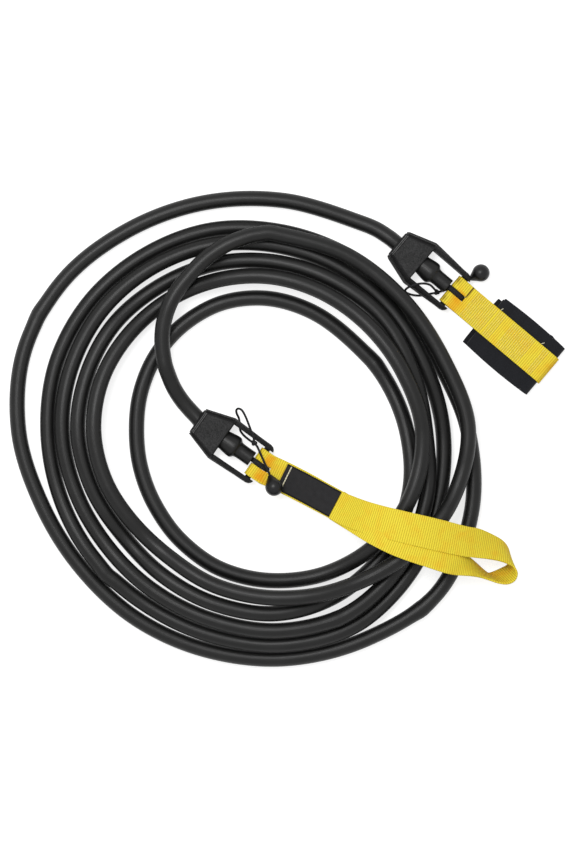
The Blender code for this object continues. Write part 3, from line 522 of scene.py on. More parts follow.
# Distance from the mouth and radius, in millimetres
END_PROFILE = (
    (6.1, 6.25), (12.0, 6.25), (15.5, 6.3), (20.0, 7.0), (26.0, 7.9), (30.0, 8.55), (33.0, 8.98),
    (35.2, 9.18), (36.8, 9.12), (38.0, 8.6), (39.0, 7.6), (39.9, 6.75), (41.5, 6.36), (44.0, 6.25),
    (50.0, 6.25), (53.1, 6.25), (53.55, 6.05),
)
# Each frame's letter, its place and the body that it is part of
FRAMES = (("a", FRAME_A_PLACE, "frame_a"), ("b", FRAME_B_PLACE, "tube"))


def turned_ring(profile, count):
    """A closed profile of (along, radius) carried once round the tube's axis."""
    a = 2 * np.pi * np.arange(count) / count
    along = np.broadcast_to(profile[:, :1], (len(profile), count))
    return np.stack([along, profile[:, 1:] * np.cos(a), profile[:, 1:] * np.sin(a)], axis=-1)


def close_rows(piece, rows, columns):
    """Joins a grid's last row to its first, in place of its two caps."""
    bm = bmesh.new()
    bm.from_mesh(piece.data)
    caps = [face for face in bm.faces if len(face.verts) > 4]
    bmesh.ops.delete(bm, geom=caps, context="FACES_ONLY")
    bm.verts.ensure_lookup_table()
    first, last = bm.verts[:columns], bm.verts[(rows - 1) * columns:]
    for k in range(columns):
        n = (k + 1) % columns
        bm.faces.new((last[k], last[n], first[n], first[k])).smooth = True
    bmesh.ops.recalc_face_normals(bm, faces=bm.faces)
    bm.to_mesh(piece.data)
    bm.free()


outer = smooth_path(np.insert(END_PROFILE, 2, 0.0, axis=1), END_STEP)[:, :2] * 0.001
inner = np.column_stack([outer[::-1, 0], np.maximum(outer[::-1, 1] - END_WALL, BORE_RADIUS)])
for letter, place, _ in FRAMES:
    grid = stood_in(place, turned_ring(np.vstack([outer, inner]), END_SIDES))
    swollen = woven_grid(f"swollen_end_{letter}", grid, black_rubber,
                         girth=2 * math.pi * TUBE_RADIUS)
    close_rows(swollen, *grid.shape[:2])
    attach(swollen, "tube")
    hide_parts(f"tube_end_{letter}")

# The two stirrup frames: black glass-filled nylon mouldings with a fine spark-eroded texture.
# A raised face lies over each one's body behind two fine rims, and two ribs run down its sides.
MOUTH_HALF = 0.0114
SHOULDER_HALF = 0.0188
FAR_HALF = 0.0182
SHOULDER_AT = 0.0248
HATCH_PITCH = 0.0016
MOULDED_RADIUS = 0.0005
SHARP_EDGE = math.radians(28)
FACE_FROM, FACE_TO = 0.0041, 0.0252
FACE_MARGIN = 0.0031
FACE_EASE = 0.0006
FACE_LEVELS = (0.0093, 0.00992)
RIM_PLACES = (0.0017, 0.0029)
RIM_WIDTH = 0.0005
RIM_LEVELS = (0.0088, 0.00975)
BORDER_FROM, BORDER_TO = 0.0026, 0.0246
BORDER_INNER, BORDER_OUTER = 0.0030, 0.0006
BORDER_LEVELS = (0.0088, 0.00942)
RIB_FROM, RIB_TO = 0.0016, 0.0244
RIB_LEVELS = ((0.0012, 0.0030), (-0.0034, -0.0016))
RIB_STAND = {"a": 0.0019, "b": 0.0007}
# A rib's corners: distance from the mouth, the half width that it goes by (the body's at the
# mouth, at the shoulder, or the arms'), how far out from that, and its share of the stand
RIB_CORNERS = (
    (0.0006, 0, -0.0006, 0.0), (0.0264, 1, -0.0008, 0.0), (0.0560, 2, -0.0008, 0.0),
    (0.0580, 2, -0.0002, 0.0), (0.0420, 2, 0.0002, 0.45), (0.0262, 1, 0.0, 0.92),
    (0.0240, 1, 0.0, 0.96), (0.0022, 0, 0.0, 0.9), (0.0004, 0, 0.0, 0.2),
)

moulded_grain = Effect("moulded_grain", "Hollow", "Peak")
lengthwise, crosswise = moulded_grain.axes()
hatch = (lengthwise + crosswise).waves(HATCH_PITCH) * (lengthwise - crosswise).waves(HATCH_PITCH)
pits = moulded_grain.speckle(1000.0, 3.0)
broad = moulded_grain.speckle(130.0, 2.0)
peaks = 0.34 * hatch + (1.7 * pits - 0.6 * broad)
moulded_grain.give(moulded_grain.blend(peaks, "Hollow", "Peak"), 0.72 - 0.2 * peaks, peaks)
frame_black, face_black, rim_painted_highlight, rib_painted_highlight, border_painted_shade = (
    finish_of(name, moulded_grain, colours, relief, "Object", Specular_IOR_Level=gloss)
    for name, colours, relief, gloss in (
        ("frame_black", ((0.002, 0.002, 0.002), (0.016, 0.016, 0.0165)), 0.0004, 0.2),
        ("face_black", ((0.006, 0.006, 0.006), (0.046, 0.046, 0.0465)), 0.0004, 0.22),
        # The rims: painted highlight, a lighter copy of the moulding's black for the light that
        # their edges catch
        ("rim_painted_highlight", ((0.05, 0.05, 0.05), (0.14, 0.14, 0.14)), 0.0001, 0.5),
        # The side ribs: painted highlight, a lighter copy of the black for the light along them
        ("rib_painted_highlight", ((0.006, 0.006, 0.006), (0.05, 0.05, 0.05)), 0.0002, 0.3),
        # The face's borders: painted shade, near black for the shade on the face's bevel
        ("border_painted_shade", ((0.001, 0.001, 0.001), (0.005, 0.005, 0.005)), 0.0002, 0.12)))


def body_half(along):
    """Half of the frame body's width: mouth + (shoulder - mouth) along / shoulder's place."""
    return MOUTH_HALF + (SHOULDER_HALF - MOUTH_HALF) * along / SHOULDER_AT


def across_body(start, start_half, stop, stop_half):
    """Four corners of a shape that reaches as far to one side of the frame as to the other."""
    return [(start, -start_half), (stop, -stop_half), (stop, stop_half), (start, start_half)]


def face_outwards(mesh):
    """Turns a closed mesh's faces outwards."""
    bm = bmesh.new()
    bm.from_mesh(mesh)
    bmesh.ops.recalc_face_normals(bm, faces=bm.faces)
    bm.to_mesh(mesh)
    bm.free()


def moulded_block(name, place, corners, levels, material, round_by):
    """A prism on corners (along, across) between two levels over the axis, rims rounded."""
    plan = np.array([(u, v, z) for z in levels for u, v in corners])
    mesh = bpy.data.meshes.new(name)
    n = len(corners)
    sides = [(k, (k + 1) % n, n + (k + 1) % n, n + k) for k in range(n)]
    mesh.from_pydata(stood_in(place, plan).tolist(), [],
                     [tuple(range(n))[::-1], tuple(range(n, 2 * n)), *sides])
    face_outwards(mesh)
    mesh.materials.append(material)
    piece = placed(name, mesh)
    rounded = piece.modifiers.new("rounded_rims", "BEVEL")
    rounded.width = round_by
    rounded.segments = 3
    return piece


for letter, place, body in FRAMES:
    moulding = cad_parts[f"frame_{letter}"]
    weld = moulding.modifiers.new("joined_facets", "WELD")
    weld.merge_threshold = 0.00001
    edges = moulding.modifiers.new("moulded_radii", "BEVEL")
    edges.width = MOULDED_RADIUS
    edges.segments = 3
    edges.limit_method = "ANGLE"
    edges.angle_limit = SHARP_EDGE
    for slot in moulding.material_slots:
        slot.material = frame_black
    face = across_body(FACE_FROM, body_half(RIM_PLACES[1]) - FACE_MARGIN,
                       FACE_TO, body_half(FACE_TO) - FACE_MARGIN - FACE_EASE)
    blocks = [(f"face_{letter}", face, FACE_LEVELS, face_black, 0.0003)]
    for number, at in enumerate(RIM_PLACES, 1):
        half = body_half(at) - FACE_MARGIN + FACE_EASE
        rim = across_body(at, half, at + RIM_WIDTH, half)
        blocks.append((f"mouth_rim_{letter}_{number}", rim, RIM_LEVELS, rim_painted_highlight, 0.00015))
    for side, way in (("left", -1), ("right", 1)):
        near, far = body_half(BORDER_FROM), body_half(BORDER_TO)
        border = [(BORDER_FROM, way * (near - BORDER_INNER)),
                  (BORDER_TO, way * (far - BORDER_INNER)),
                  (BORDER_TO, way * (far - BORDER_OUTER)),
                  (BORDER_FROM, way * (near - BORDER_OUTER))]
        blocks.append((f"face_border_{letter}_{side}", border, BORDER_LEVELS, border_painted_shade, 0.0002))
        halves = (body_half(RIB_FROM), body_half(RIB_TO), FAR_HALF)
        rib = [(along, way * (halves[which] + out + share * RIB_STAND[letter]))
               for along, which, out, share in RIB_CORNERS]
        blocks += [(f"side_rib_{letter}_{side}_{number}", rib, levels, rib_painted_highlight, 0.0003)
                   for number, levels in enumerate(RIB_LEVELS, 1)]
    for name, corners, levels, material, round_by in blocks:
        block = moulded_block(name, place, corners, levels, material, round_by)
        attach(block, body)

# The safety line's tail on each bar: braided polyester cord that leaves the tube's end, goes
# over the bar and down through the webbing's slit, and comes back under the bar.
BAR_AT = 0.059
PLAIT_PITCH = 0.0026
TAIL_HALF_WIDTH = 0.0021
TAIL_HALF_HEIGHT = 0.0014
TAIL_GIRTH = 0.0104
TAIL_SIDES = 14
TAIL_LINE = ((-6.6, 0.2, 0.7), (-4.4, 0.1, 2.3), (-2.4, 0.0, 3.75), (0.0, 0.0, 4.35),
             (2.6, -0.1, 4.0), (5.4, -0.1, 3.0), (8.2, 0.0, 1.2), (9.8, 0.1, -1.4),
             (7.8, 0.1, -3.8), (4.0, 0.0, -4.7), (0.6, 0.0, -4.6), (-2.6, 0.1, -3.5),
             (-4.6, 0.1, -1.6))

braided = Effect("braided", "Gap", "Strand")
lengthwise, crosswise = braided.axes()
plait = abs((lengthwise + crosswise).waves(PLAIT_PITCH)).or_more(
    abs((lengthwise - crosswise).waves(PLAIT_PITCH)))
fleck = (1.45 * braided.speckle(1900.0, 1.0)) ** 9.0
fibres = (0.3 * plait + fleck).or_less(1.0)
braided.give(braided.blend(fibres, "Gap", "Strand"), 0.8 - 0.3 * fibres, plait)
black_braid = finish_of("black_braid", braided, ((0.002, 0.002, 0.0025), (0.035, 0.035, 0.038)),
                        0.0003, Specular_IOR_Level=0.2)

for letter, place, body in FRAMES:
    line = smooth_path(TAIL_LINE, 0.5) * 0.001 + np.array([BAR_AT, 0.0, 0.0])
    across = np.tile((0.0, 1.0, 0.0), (len(line), 1))
    section = circle(TAIL_HALF_WIDTH * across,
                     TAIL_HALF_HEIGHT * np.cross(headings(line), across), TAIL_SIDES)
    line_tail = woven_grid(f"braided_tail_{letter}", stood_in(place, line[:, None] + section),
                           black_braid, girth=TAIL_GIRTH)
    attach(line_tail, body)
    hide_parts(f"line_tail_{letter}")

# Strap A: 25 mm yellow polyamide webbing with close crosswise ribs. It comes from under the
# cuff, is slit where the safety line's tail passes, turns round frame A's bar and lies sewn on
# itself and on the cuff, round whose far fold it ends.
WEB_WIDTH = 0.025
WEB_THICKNESS = 0.0015
WEB_COLUMNS = 32
RIB_PITCH = 0.00178
SLIT_HALF = 0.0021
SLIT_END = 0.011
CUT_END = 0.0102
CUT_DROP = 0.0007
PUCKER_AT = 0.007
PUCKER_HEIGHT = 0.00035
# In millimetres: the webbing's turn round the bar, its levels under and over the frame's axis,
# and the middle of the cuff's far fold, past the bar and over the axis
WRAP_RADIUS = 3.55
UNDER_LEVEL = -1.25
LAID_LEVEL = 0.55
FOLD_MIDDLE = (94.1, -4.9)

ribbed_web = Effect("ribbed_web", "Groove", "Crest", "Warm")
lengthwise, crosswise = ribbed_web.axes()
wobble = 0.00022 * ribbed_web.speckle(420.0, 1.0)
rib = abs((lengthwise + wobble).waves(2 * RIB_PITCH))
yarn = 0.5 * (crosswise.waves(0.0011) + 1.0)
fuzz = ribbed_web.speckle(1500.0, 2.0)
blotch = ribbed_web.speckle(90.0, 2.0)
raised = 0.75 * rib + 0.25 * yarn
clean = ribbed_web.blend(raised ** 0.6 - 0.55 * (fuzz - 0.5), "Groove", "Crest")
# golden is random orange tone in the yarn; the per-point value adds painted orange shade above 0
# and painted dark shade below 0
golden = 1.3 * (blotch - 0.47).or_more(0.0)
golden_and_painted_shade = golden + ribbed_web.painted_shade.or_more(0.0) * (0.9 * blotch + 0.45)
painted_dark_shade = (-1.0 * ribbed_web.painted_shade).or_more(0.0) * (1.0 - 0.7 * rib)
toned = ribbed_web.blend(golden_and_painted_shade, clean, "Warm")
ribbed_web.give(ribbed_web.blend(painted_dark_shade, toned, (0.09, 0.035, 0.002)), 0.82 - 0.16 * rib,
                raised + 0.25 * fuzz)
yellow_webbing = finish_of(
    "yellow_webbing", ribbed_web,
    ((0.42, 0.25, 0.006), (0.99, 0.82, 0.05), (0.88, 0.39, 0.003)), 0.0003,
    Specular_IOR_Level=0.3)


def on_middle(*pairs):
    """Stations in millimetres on the frame's middle line from (past the bar, height)."""
    return np.insert(np.array(pairs, float), 1, 0.0, axis=1)


def arc(middle, radius, degrees):
    """Stations round a bend: middle + radius (cos a, 0, sin a)."""
    a = np.radians(degrees)
    return on_middle(*zip(middle[0] + radius * np.cos(a), middle[1] + radius * np.sin(a)))


def under_and_over_bar(below, above):
    """Stations in millimetres from the bar: in below it, half a turn round, out above it."""
    return np.vstack([on_middle((11.0, below), (6.0, (below - WRAP_RADIUS) / 2)),
                      arc((0.0, 0.0), WRAP_RADIUS, np.arange(-90, -271, -15)),
                      on_middle((6.0, WRAP_RADIUS + 0.35 * (above - WRAP_RADIUS)))])


def across_y(points):
    """Gives stations (x, y, z) the width direction y."""
    return np.column_stack([points, np.zeros(len(points)), np.ones(len(points)),
                            np.zeros(len(points))])


def from_mouth(stations, step):
    """Millimetres from the bar as a smooth path in metres from the frame's mouth."""
    stations = smooth_path(stations, step)
    stations[:, :3] *= 0.001
    stations[:, 0] += BAR_AT
    return stations


def ribbon(stations, width, columns, squared=True):
    """Flat cloth along stations of (point, width direction): point + v * direction.

    The direction is squared to the path first. Where it isn't, the cloth is pulled aslant,
    and cups where its direction is shorter than 1.
    """
    way = headings(stations[:, :3])
    side = stations[:, 3:6]
    if squared:
        side = side - way * np.sum(side * way, axis=1, keepdims=True)
        side = side / np.linalg.norm(side, axis=1, keepdims=True)
    v = np.linspace(-0.5, 0.5, columns) * width
    return stations[:, None, :3] + v[None, :, None] * side[:, None]


def slit_cells(x):
    """The webbing's cells in its slit: nearer the bar than its end, and near the middle."""
    near_bar = 0.5 * (x[1:] + x[:-1]) < SLIT_END
    return near_bar[:, None] & (np.abs(0.5 * (v[1:] + v[:-1])) < SLIT_HALF)


def cloth(name, grid, material, thickness, along, width, painted_shade=None, cut=None):
    """A sheet of cloth from a grid: one layer, given its thickness by Solidify.

    The value for each point gives painted shade: painted orange shade above 0 and painted dark
    shade below 0; cut is a mask over the cells that are left out.
    """
    piece = woven_grid(name, grid, material, around=False, along=along, girth=width)
    mesh = piece.data
    if painted_shade is not None:
        layer = mesh.attributes.new("painted_shade", "FLOAT", "POINT")
        layer.data.foreach_set("value", np.broadcast_to(painted_shade, grid.shape[:2]).ravel())
    if cut is not None:
        bm = bmesh.new()
        bm.from_mesh(mesh)
        bm.faces.ensure_lookup_table()
        bmesh.ops.delete(bm, geom=[bm.faces[int(k)] for k in np.flatnonzero(cut.ravel())],
                         context="FACES")
        bm.to_mesh(mesh)
        bm.free()
    thicken = piece.modifiers.new("thickness", "SOLIDIFY")
    thicken.thickness = thickness
    thicken.offset = 0.0
    thicken.use_even_offset = True
    return piece


strap_a_line = np.vstack([
    on_middle((31.5, UNDER_LEVEL), (22.0, UNDER_LEVEL), (15.0, UNDER_LEVEL)),
    under_and_over_bar(UNDER_LEVEL, LAID_LEVEL),
    on_middle((10.0, 1.75), (14.0, 0.95), (20.0, LAID_LEVEL), (30.0, LAID_LEVEL),
              (50.0, LAID_LEVEL), (70.0, LAID_LEVEL), (86.0, LAID_LEVEL)),
    arc(FOLD_MIDDLE, 5.45, np.arange(75, -31, -15))])
stations = from_mouth(across_y(strap_a_line), 1.0)
strap_run = lengths_along(stations[:, :3])
grid = ribbon(stations, WEB_WIDTH, WEB_COLUMNS + 1)
x = stations[:, 0] - BAR_AT
v = np.linspace(-0.5, 0.5, WEB_COLUMNS + 1) * WEB_WIDTH
on_top = np.arange(len(x)) > int(np.argmin(x))
# Beside the slit the webbing puckers, with painted orange shade where it curves down; behind the
# slit its cut end steps down, with a painted dark shade line at the step; round the bar it has
# painted dark shade, and over the cuff's fold painted orange shade
puckered = on_top * hump(x, PUCKER_AT, 0.005)
grid[..., 2] += (PUCKER_HEIGHT * puckered)[:, None] * np.sin(260 * v)
past_end = (on_top * np.clip((x - CUT_END) / 0.0007, 0, 1)
            * np.exp(-np.maximum(x - CUT_END - 0.0002, 0) / 0.005))
grid[..., 2] -= CUT_DROP * past_end[:, None] * (v > SLIT_HALF)
painted_shade = np.maximum(0.85 * puckered[:, None] * (v < 0.004), 0.3 * hump(x, 0.0995, 0.003)[:, None])
painted_shade -= 3.0 * (on_top * hump(x, 0.0106, 0.0005))[:, None] * (v > 0.0016)
painted_shade -= 1.1 * hump(x, -0.0028, 0.0026)[:, None] * (0.6 + 0.4 * np.cos(700 * v))
strap_a_web = cloth("strap_a_web", stood_in(FRAME_A_PLACE, grid), yellow_webbing, WEB_THICKNESS,
                    strap_run, WEB_WIDTH, painted_shade, slit_cells(x))
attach(strap_a_web, "strap_a")
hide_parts("strap_a")

# Strap A's stitch rows: pale yellow thread sewn straight across the webbing, close together
# behind the slit, then in groups over the cuff. Each row lies on a crest between two grooves.
STITCH_ROWS = ((0.0152, 12), (0.0381, 4), (0.0535, 13), (0.0845, 3))
STITCH_LENGTH = 0.0046
STITCH_RINGS = 5
STITCH_SIDES = 6
THREAD_RADIUS = 0.00028
ROW_WANDER = 0.00015

twisted_thread = Effect("twisted_thread", "Hollow", "Strand")
lengthwise, crosswise = twisted_thread.axes()
ply = 0.5 * ((lengthwise + crosswise).waves(0.0007) + 1.0)
twisted_thread.give(twisted_thread.blend(ply, "Hollow", "Strand"), 0.7 - 0.15 * ply, ply)
pale_thread = finish_of("pale_thread", twisted_thread, ((0.9, 0.7, 0.08), (1.0, 0.9, 0.26)),
                        0.0001)


def stitches(name, middles, ways, ups, material, length=STITCH_LENGTH, radius=THREAD_RADIUS):
    """Short bowed stitches: middle + way t L/2 + up r (1 - 1.1 t^2), t from -1 to 1."""
    t = np.linspace(-1, 1, STITCH_RINGS)
    line = (middles[:, None] + ways[:, None] * (t * length / 2)[None, :, None]
            + ups[:, None] * (radius * (1 - 1.1 * t ** 2))[None, :, None])
    slim = radius * np.array([0.75, 1.0, 1.0, 1.0, 0.75])
    ring = circle(np.cross(ways, ups), ups, STITCH_SIDES)
    grid = line[:, :, None] + slim[None, :, None, None] * ring[:, None]
    index = np.arange(grid.size // 3).reshape(grid.shape[:3])
    quads = cell_corners(np.concatenate([index, index[:, :, :1]], axis=2)).reshape(-1, 4)
    faces = quads.tolist() + index[:, 0, ::-1].tolist() + index[:, -1].tolist()
    mesh = bpy.data.meshes.new(name)
    mesh.from_pydata(grid.reshape(-1, 3).tolist(), [], faces)
    face_outwards(mesh)
    layer = mesh.uv_layers.new(name="along_and_round")
    corner = np.zeros(len(mesh.loops), dtype=np.int32)
    mesh.loops.foreach_get("vertex_index", corner)
    a = 2 * np.pi * np.arange(STITCH_SIDES) / STITCH_SIDES
    uv = np.stack(np.meshgrid(t * length / 2, a * radius, indexing="ij"), axis=-1).reshape(-1, 2)
    layer.data.foreach_set("uv", np.tile(uv, (len(middles), 1))[corner].astype(np.float32).ravel())
    mesh.shade_smooth()
    mesh.materials.append(material)
    return placed(name, mesh)


def turned_in(place, vectors):
    """Directions in a frame's axes as world directions."""
    return stood_in((0.0, 0.0, place[2]), vectors) - np.array([0.0, 0.0, AXIS_HEIGHT])


flat = int(np.argmin(np.abs(x - 0.05) + ~on_top))
to_run = float(strap_run[flat] - x[flat])
row_x = np.concatenate([
    (round((first + to_run) / RIB_PITCH) + 0.5 + np.arange(count)) * RIB_PITCH - to_run
    for first, count in STITCH_ROWS])
spot_x, spot_v = (m.ravel() for m in np.meshgrid(row_x, np.arange(-2, 3) * STITCH_LENGTH,
                                                 indexing="ij"))
spot_x = spot_x + ROW_WANDER * np.sin(9000 * spot_v + 700 * spot_x)
level = (LAID_LEVEL * 0.001 + WEB_THICKNESS / 2 + 0.00008
         + 0.0002 * np.clip(0.02 - spot_x, 0, 0.006) / 0.006)
middles = stood_in(FRAME_A_PLACE, np.column_stack([BAR_AT + spot_x, spot_v, level]))
ways = turned_in(FRAME_A_PLACE, np.tile((0.0, 1.0, 0.0), (len(spot_x), 1)))
strap_a_rows = stitches("strap_a_rows", middles, ways, np.tile((0.0, 0.0, 1.0), (len(spot_x), 1)),
                        pale_thread)
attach(strap_a_rows, "strap_a")
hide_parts("strap_a_stitching")

# The cuff: black napped hook-and-loop cloth, folded over at its far end, with the lower flap
# lying under it. Its long edges bulge a little, and two layer ends show at one corner.
CUFF_WIDTH = 0.049
CUFF_THICKNESS = 0.002
CUFF_SHIFT = -0.0017
CUFF_COLUMNS = 29
CUFF_FROM = 0.034
CUFF_LONG = 0.0645
# In millimetres over the axis: the cuff's upper layer and its flap
UPPER_LEVEL = -1.5
FLAP_LEVEL = -8.3

napped_cloth = Effect("napped_cloth", "Shade", "Nap")
nap = napped_cloth.speckle(900.0, 4.0)
lie = napped_cloth.speckle(120.0, 3.0, (1.0, 0.3, 1.0))
loft = 0.75 * nap + 0.35 * lie
napped_cloth.give(napped_cloth.blend(loft ** 1.6, "Shade", "Nap"), 1.0 - 0.1 * lie, loft)
black_nap = finish_of("black_nap", napped_cloth, ((0.007, 0.0075, 0.009), (0.02, 0.021, 0.026)),
                      0.0005, Specular_IOR_Level=0.2, Sheen_Weight=0.12, Sheen_Roughness=0.5)


def cuff_cloth(name, line, notch=0.0):
    """The cuff's cloth along a line, and its length.

    Its long edges bulge by a low sine of the way along, and one is notched by so much.
    """
    stations = from_mouth(across_y(line), 0.6)
    stations[:, 1] += CUFF_SHIFT
    grid = ribbon(stations, CUFF_WIDTH, CUFF_COLUMNS)
    v = np.linspace(-1, 1, CUFF_COLUMNS)
    x = stations[:, 0] - BAR_AT
    bulge = 0.0011 * np.sin(np.pi * np.clip((x - CUFF_FROM) / CUFF_LONG, 0, 1)) - 0.0005
    bump = 0.0006 * hump(x, 0.084, 0.0016) - notch * np.clip((0.0385 - x) / 0.001, 0, 1)
    grid[..., 1] += bulge[:, None] * v ** 3 + bump[:, None] * np.clip(v, 0, 1) ** 5
    grid[..., 0] += 0.0009 * hump(x, CUFF_FROM, 0.003)[:, None] * np.abs(v) ** 6
    run = lengths_along(stations[:, :3])
    piece = cloth(name, stood_in(FRAME_A_PLACE, grid), black_nap, CUFF_THICKNESS, run, CUFF_WIDTH)
    soft = piece.modifiers.new("soft_edges", "BEVEL")
    soft.width = 0.0006
    soft.segments = 3
    soft.limit_method = "ANGLE"
    soft.angle_limit = math.radians(50)
    return piece, float(run[-1])


band_line = np.vstack([
    on_middle((35.2, UPPER_LEVEL), (50.0, UPPER_LEVEL), (70.0, UPPER_LEVEL), (86.0, UPPER_LEVEL),
              (94.1, UPPER_LEVEL)),
    arc(FOLD_MIDDLE, 3.4, np.arange(70, -91, -20)), on_middle((91.1, FLAP_LEVEL))])
cuff_upper, upper_length = cuff_cloth("cuff_upper", band_line)
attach(cuff_upper, "strap_a")
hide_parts("cuff_band")

flap_line = on_middle((31.5, FLAP_LEVEL), (50.0, FLAP_LEVEL), (70.0, FLAP_LEVEL),
                      (90.8, FLAP_LEVEL))
cuff_lower, lower_length = cuff_cloth("cuff_lower", flap_line, 0.003)
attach(cuff_lower, "cuff_flap")
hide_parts("cuff_flap")

# The patches that hold the flap shut, and the parts inside the tube: hooks on one patch and
# loops on the other, white turned plugs, and the safety line along the tube's middle.
hook_field = Effect("hook_field", "Base", "Hook")
lengthwise, crosswise = hook_field.axes()
hooks = (lengthwise.waves(0.0013) * crosswise.waves(0.0013)).or_more(0.0)
hook_field.give(hook_field.blend(hooks, "Base", "Hook"), 0.6 - 0.25 * hooks, hooks)
turned_plastic = Effect("turned_plastic", "Shade", "Light")
marks = turned_plastic.speckle(400.0, 2.0)
turned_plastic.give(turned_plastic.blend(marks, "Shade", "Light"), 0.35 + 0.2 * marks, marks)
plug_whites = ((0.7, 0.7, 0.67), (0.82, 0.82, 0.8))

for node, name, effect, colours, relief in (
        ("hook_patch", "hook_tape", hook_field,
         ((0.008, 0.008, 0.009), (0.05, 0.05, 0.055)), 0.0006),
        ("loop_patch", "loop_tape", napped_cloth,
         ((0.008, 0.008, 0.009), (0.03, 0.03, 0.034)), 0.0008),
        ("end_plug_a", "white_plug_a", turned_plastic, plug_whites, 0.00005),
        ("end_plug_b", "white_plug_b", turned_plastic, plug_whites, 0.00005),
        ("safety_line", "hidden_line", braided,
         ((0.006, 0.006, 0.007), (0.09, 0.09, 0.095)), 0.0002)):
    made = finish_of(name, effect, colours, relief, "Object")
    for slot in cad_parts[node].material_slots:
        slot.material = made

# The hand strap: the same webbing. Two layers lie sewn together from frame B's bar to the
# label's end, then part into a loop whose far turn stands on its edge.
LAYER_STEP = 1.8
SEWN_LAYERS = np.array([(14.0, 1.0, 2.0), (22.0, 2.4, 1.2), (34.0, 4.2, 1.4), (46.0, 5.8, 2.8),
                        (58.0, 7.2, 5.2), (69.7, 8.6, 8.6)])
# The loop's stations: millimetres past the bar, across and over the axis, then the direction
# of its width, which is shorter than 1 where the webbing cups
HAND_LOOP = (
    (80.0, 10.2, 14.6, -0.17, 0.98, 0.0), (96.0, 14.8, 26.0, -0.28, 0.96, 0.0),
    (117.0, 22.8, 33.8, -0.33, 0.94, 0.0), (137.0, 30.8, 34.6, -0.36, 0.93, -0.04),
    (154.0, 37.4, 31.2, -0.39, 0.91, -0.1), (169.4, 43.5, 25.8, -0.4, 0.86, -0.16),
    (178.6, 47.9, 20.8, -0.4, 0.83, -0.22), (188.6, 51.5, 15.0, -0.32, 0.72, -0.38),
    (197.9, 54.0, 10.4, -0.27, 0.59, -0.5), (204.4, 54.4, 7.6, -0.28, 0.45, -0.62),
    (209.7, 53.2, 5.4, -0.28, 0.29, -0.74), (213.5, 50.4, 4.2, -0.29, 0.17, -0.84),
    (215.6, 46.7, 3.4, -0.34, 0.08, -0.9), (215.0, 42.0, 3.2, -0.47, 0.1, -0.85),
    (212.0, 36.9, 3.2, -0.48, 0.09, -0.82), (207.4, 33.1, 4.0, -0.36, 0.06, -0.84),
    (202.4, 31.8, 6.2, -0.23, 0.12, -0.78), (194.8, 30.9, 11.4, -0.18, 0.25, -0.62),
    (186.2, 29.5, 19.0, -0.23, 0.45, -0.4), (176.4, 27.0, 26.2, -0.33, 0.68, -0.1),
    (166.6, 24.7, 30.4, -0.36, 0.82, -0.2), (152.0, 21.0, 33.2, -0.32, 0.9, -0.14),
    (128.0, 14.6, 34.4, -0.22, 0.96, -0.05), (106.0, 11.2, 29.6, -0.14, 0.99, -0.04),
    (88.0, 9.9, 18.4, -0.1, 0.99, 0.0), (78.0, 9.2, 11.2, -0.1, 0.99, 0.0),
    (71.2, 8.8, 6.9, -0.1, 0.99, 0.0),
)

way = headings(SEWN_LAYERS)
sewn_upper = np.column_stack([SEWN_LAYERS, -way[:, 1], way[:, 0], 0 * way[:, 0]])
sewn_lower = sewn_upper - np.array([0, 0, LAYER_STEP, 0, 0, 0])
top_level = SEWN_LAYERS[0, 2]
round_bar = across_y(under_and_over_bar(top_level - LAYER_STEP, top_level))
stations = from_mouth(np.vstack([sewn_lower[::-1], round_bar, sewn_upper, HAND_LOOP]), 1.3)
hand_run = lengths_along(stations[:, :3])
grid = ribbon(stations, WEB_WIDTH, WEB_COLUMNS + 1, squared=False)
x = stations[:, 0] - BAR_AT
on_top = np.arange(len(x)) > int(np.argmin(x))
turned_up = np.clip(np.abs(stations[:, 5]) / np.linalg.norm(stations[:, 3:6], axis=1), 0, 1)
# Painted orange shade where the webbing curves past the bar and where the loop turns up on its
# edge, most towards one edge, and painted dark shade in stripes just past the bar
painted_shade = np.maximum(0.8 * (on_top * hump(x, 0.0065, 0.005))[:, None] * (np.abs(v) < 0.011),
                    0.65 * (turned_up ** 4)[:, None] * np.clip(0.4 + 50 * v, 0, 1))
painted_shade -= 0.9 * (on_top * hump(x, 0.0015, 0.0008))[:, None] * (0.5 + 0.5 * np.cos(5000 * v))
hand_loop = cloth("hand_loop", stood_in(FRAME_B_PLACE, grid), yellow_webbing, WEB_THICKNESS,
                  hand_run, WEB_WIDTH, painted_shade, slit_cells(x))
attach(hand_loop, "strap_b")
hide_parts("hand_strap")

# The label: a plain woven black satin band sewn flat on the hand strap's upper layer, between
# frame B and the loop. Its edges are folded under, which shows as a hem down each side.
LABEL_FROM = 0.022
LABEL_LONG = 0.048
LABEL_WIDE = 0.0224
LABEL_THICK = 0.0006
LABEL_LIFT = 0.00135
LABEL_HEM = 0.0013
LABEL_ROWS, LABEL_COLUMNS = 40, 13

woven_satin = Effect("woven_satin", "Weft", "Warp")
lengthwise, crosswise = woven_satin.axes()
picks = 0.5 * (lengthwise.waves(0.0005) * crosswise.waves(0.0007) + 1.0)
hem = abs(crosswise - LABEL_WIDE / 2).past(LABEL_WIDE / 2 - LABEL_HEM)
mottle = woven_satin.speckle(260.0, 3.0)
woven_satin.give(
    woven_satin.blend(0.5 * picks + 0.5 * mottle - 0.45 * hem, "Weft", "Warp"),
    0.62 - 0.2 * picks, picks + 2.0 * hem)
black_satin = finish_of("black_satin", woven_satin,
                        ((0.008, 0.0078, 0.0085), (0.034, 0.033, 0.035)), 0.00012,
                        Specular_IOR_Level=0.14)

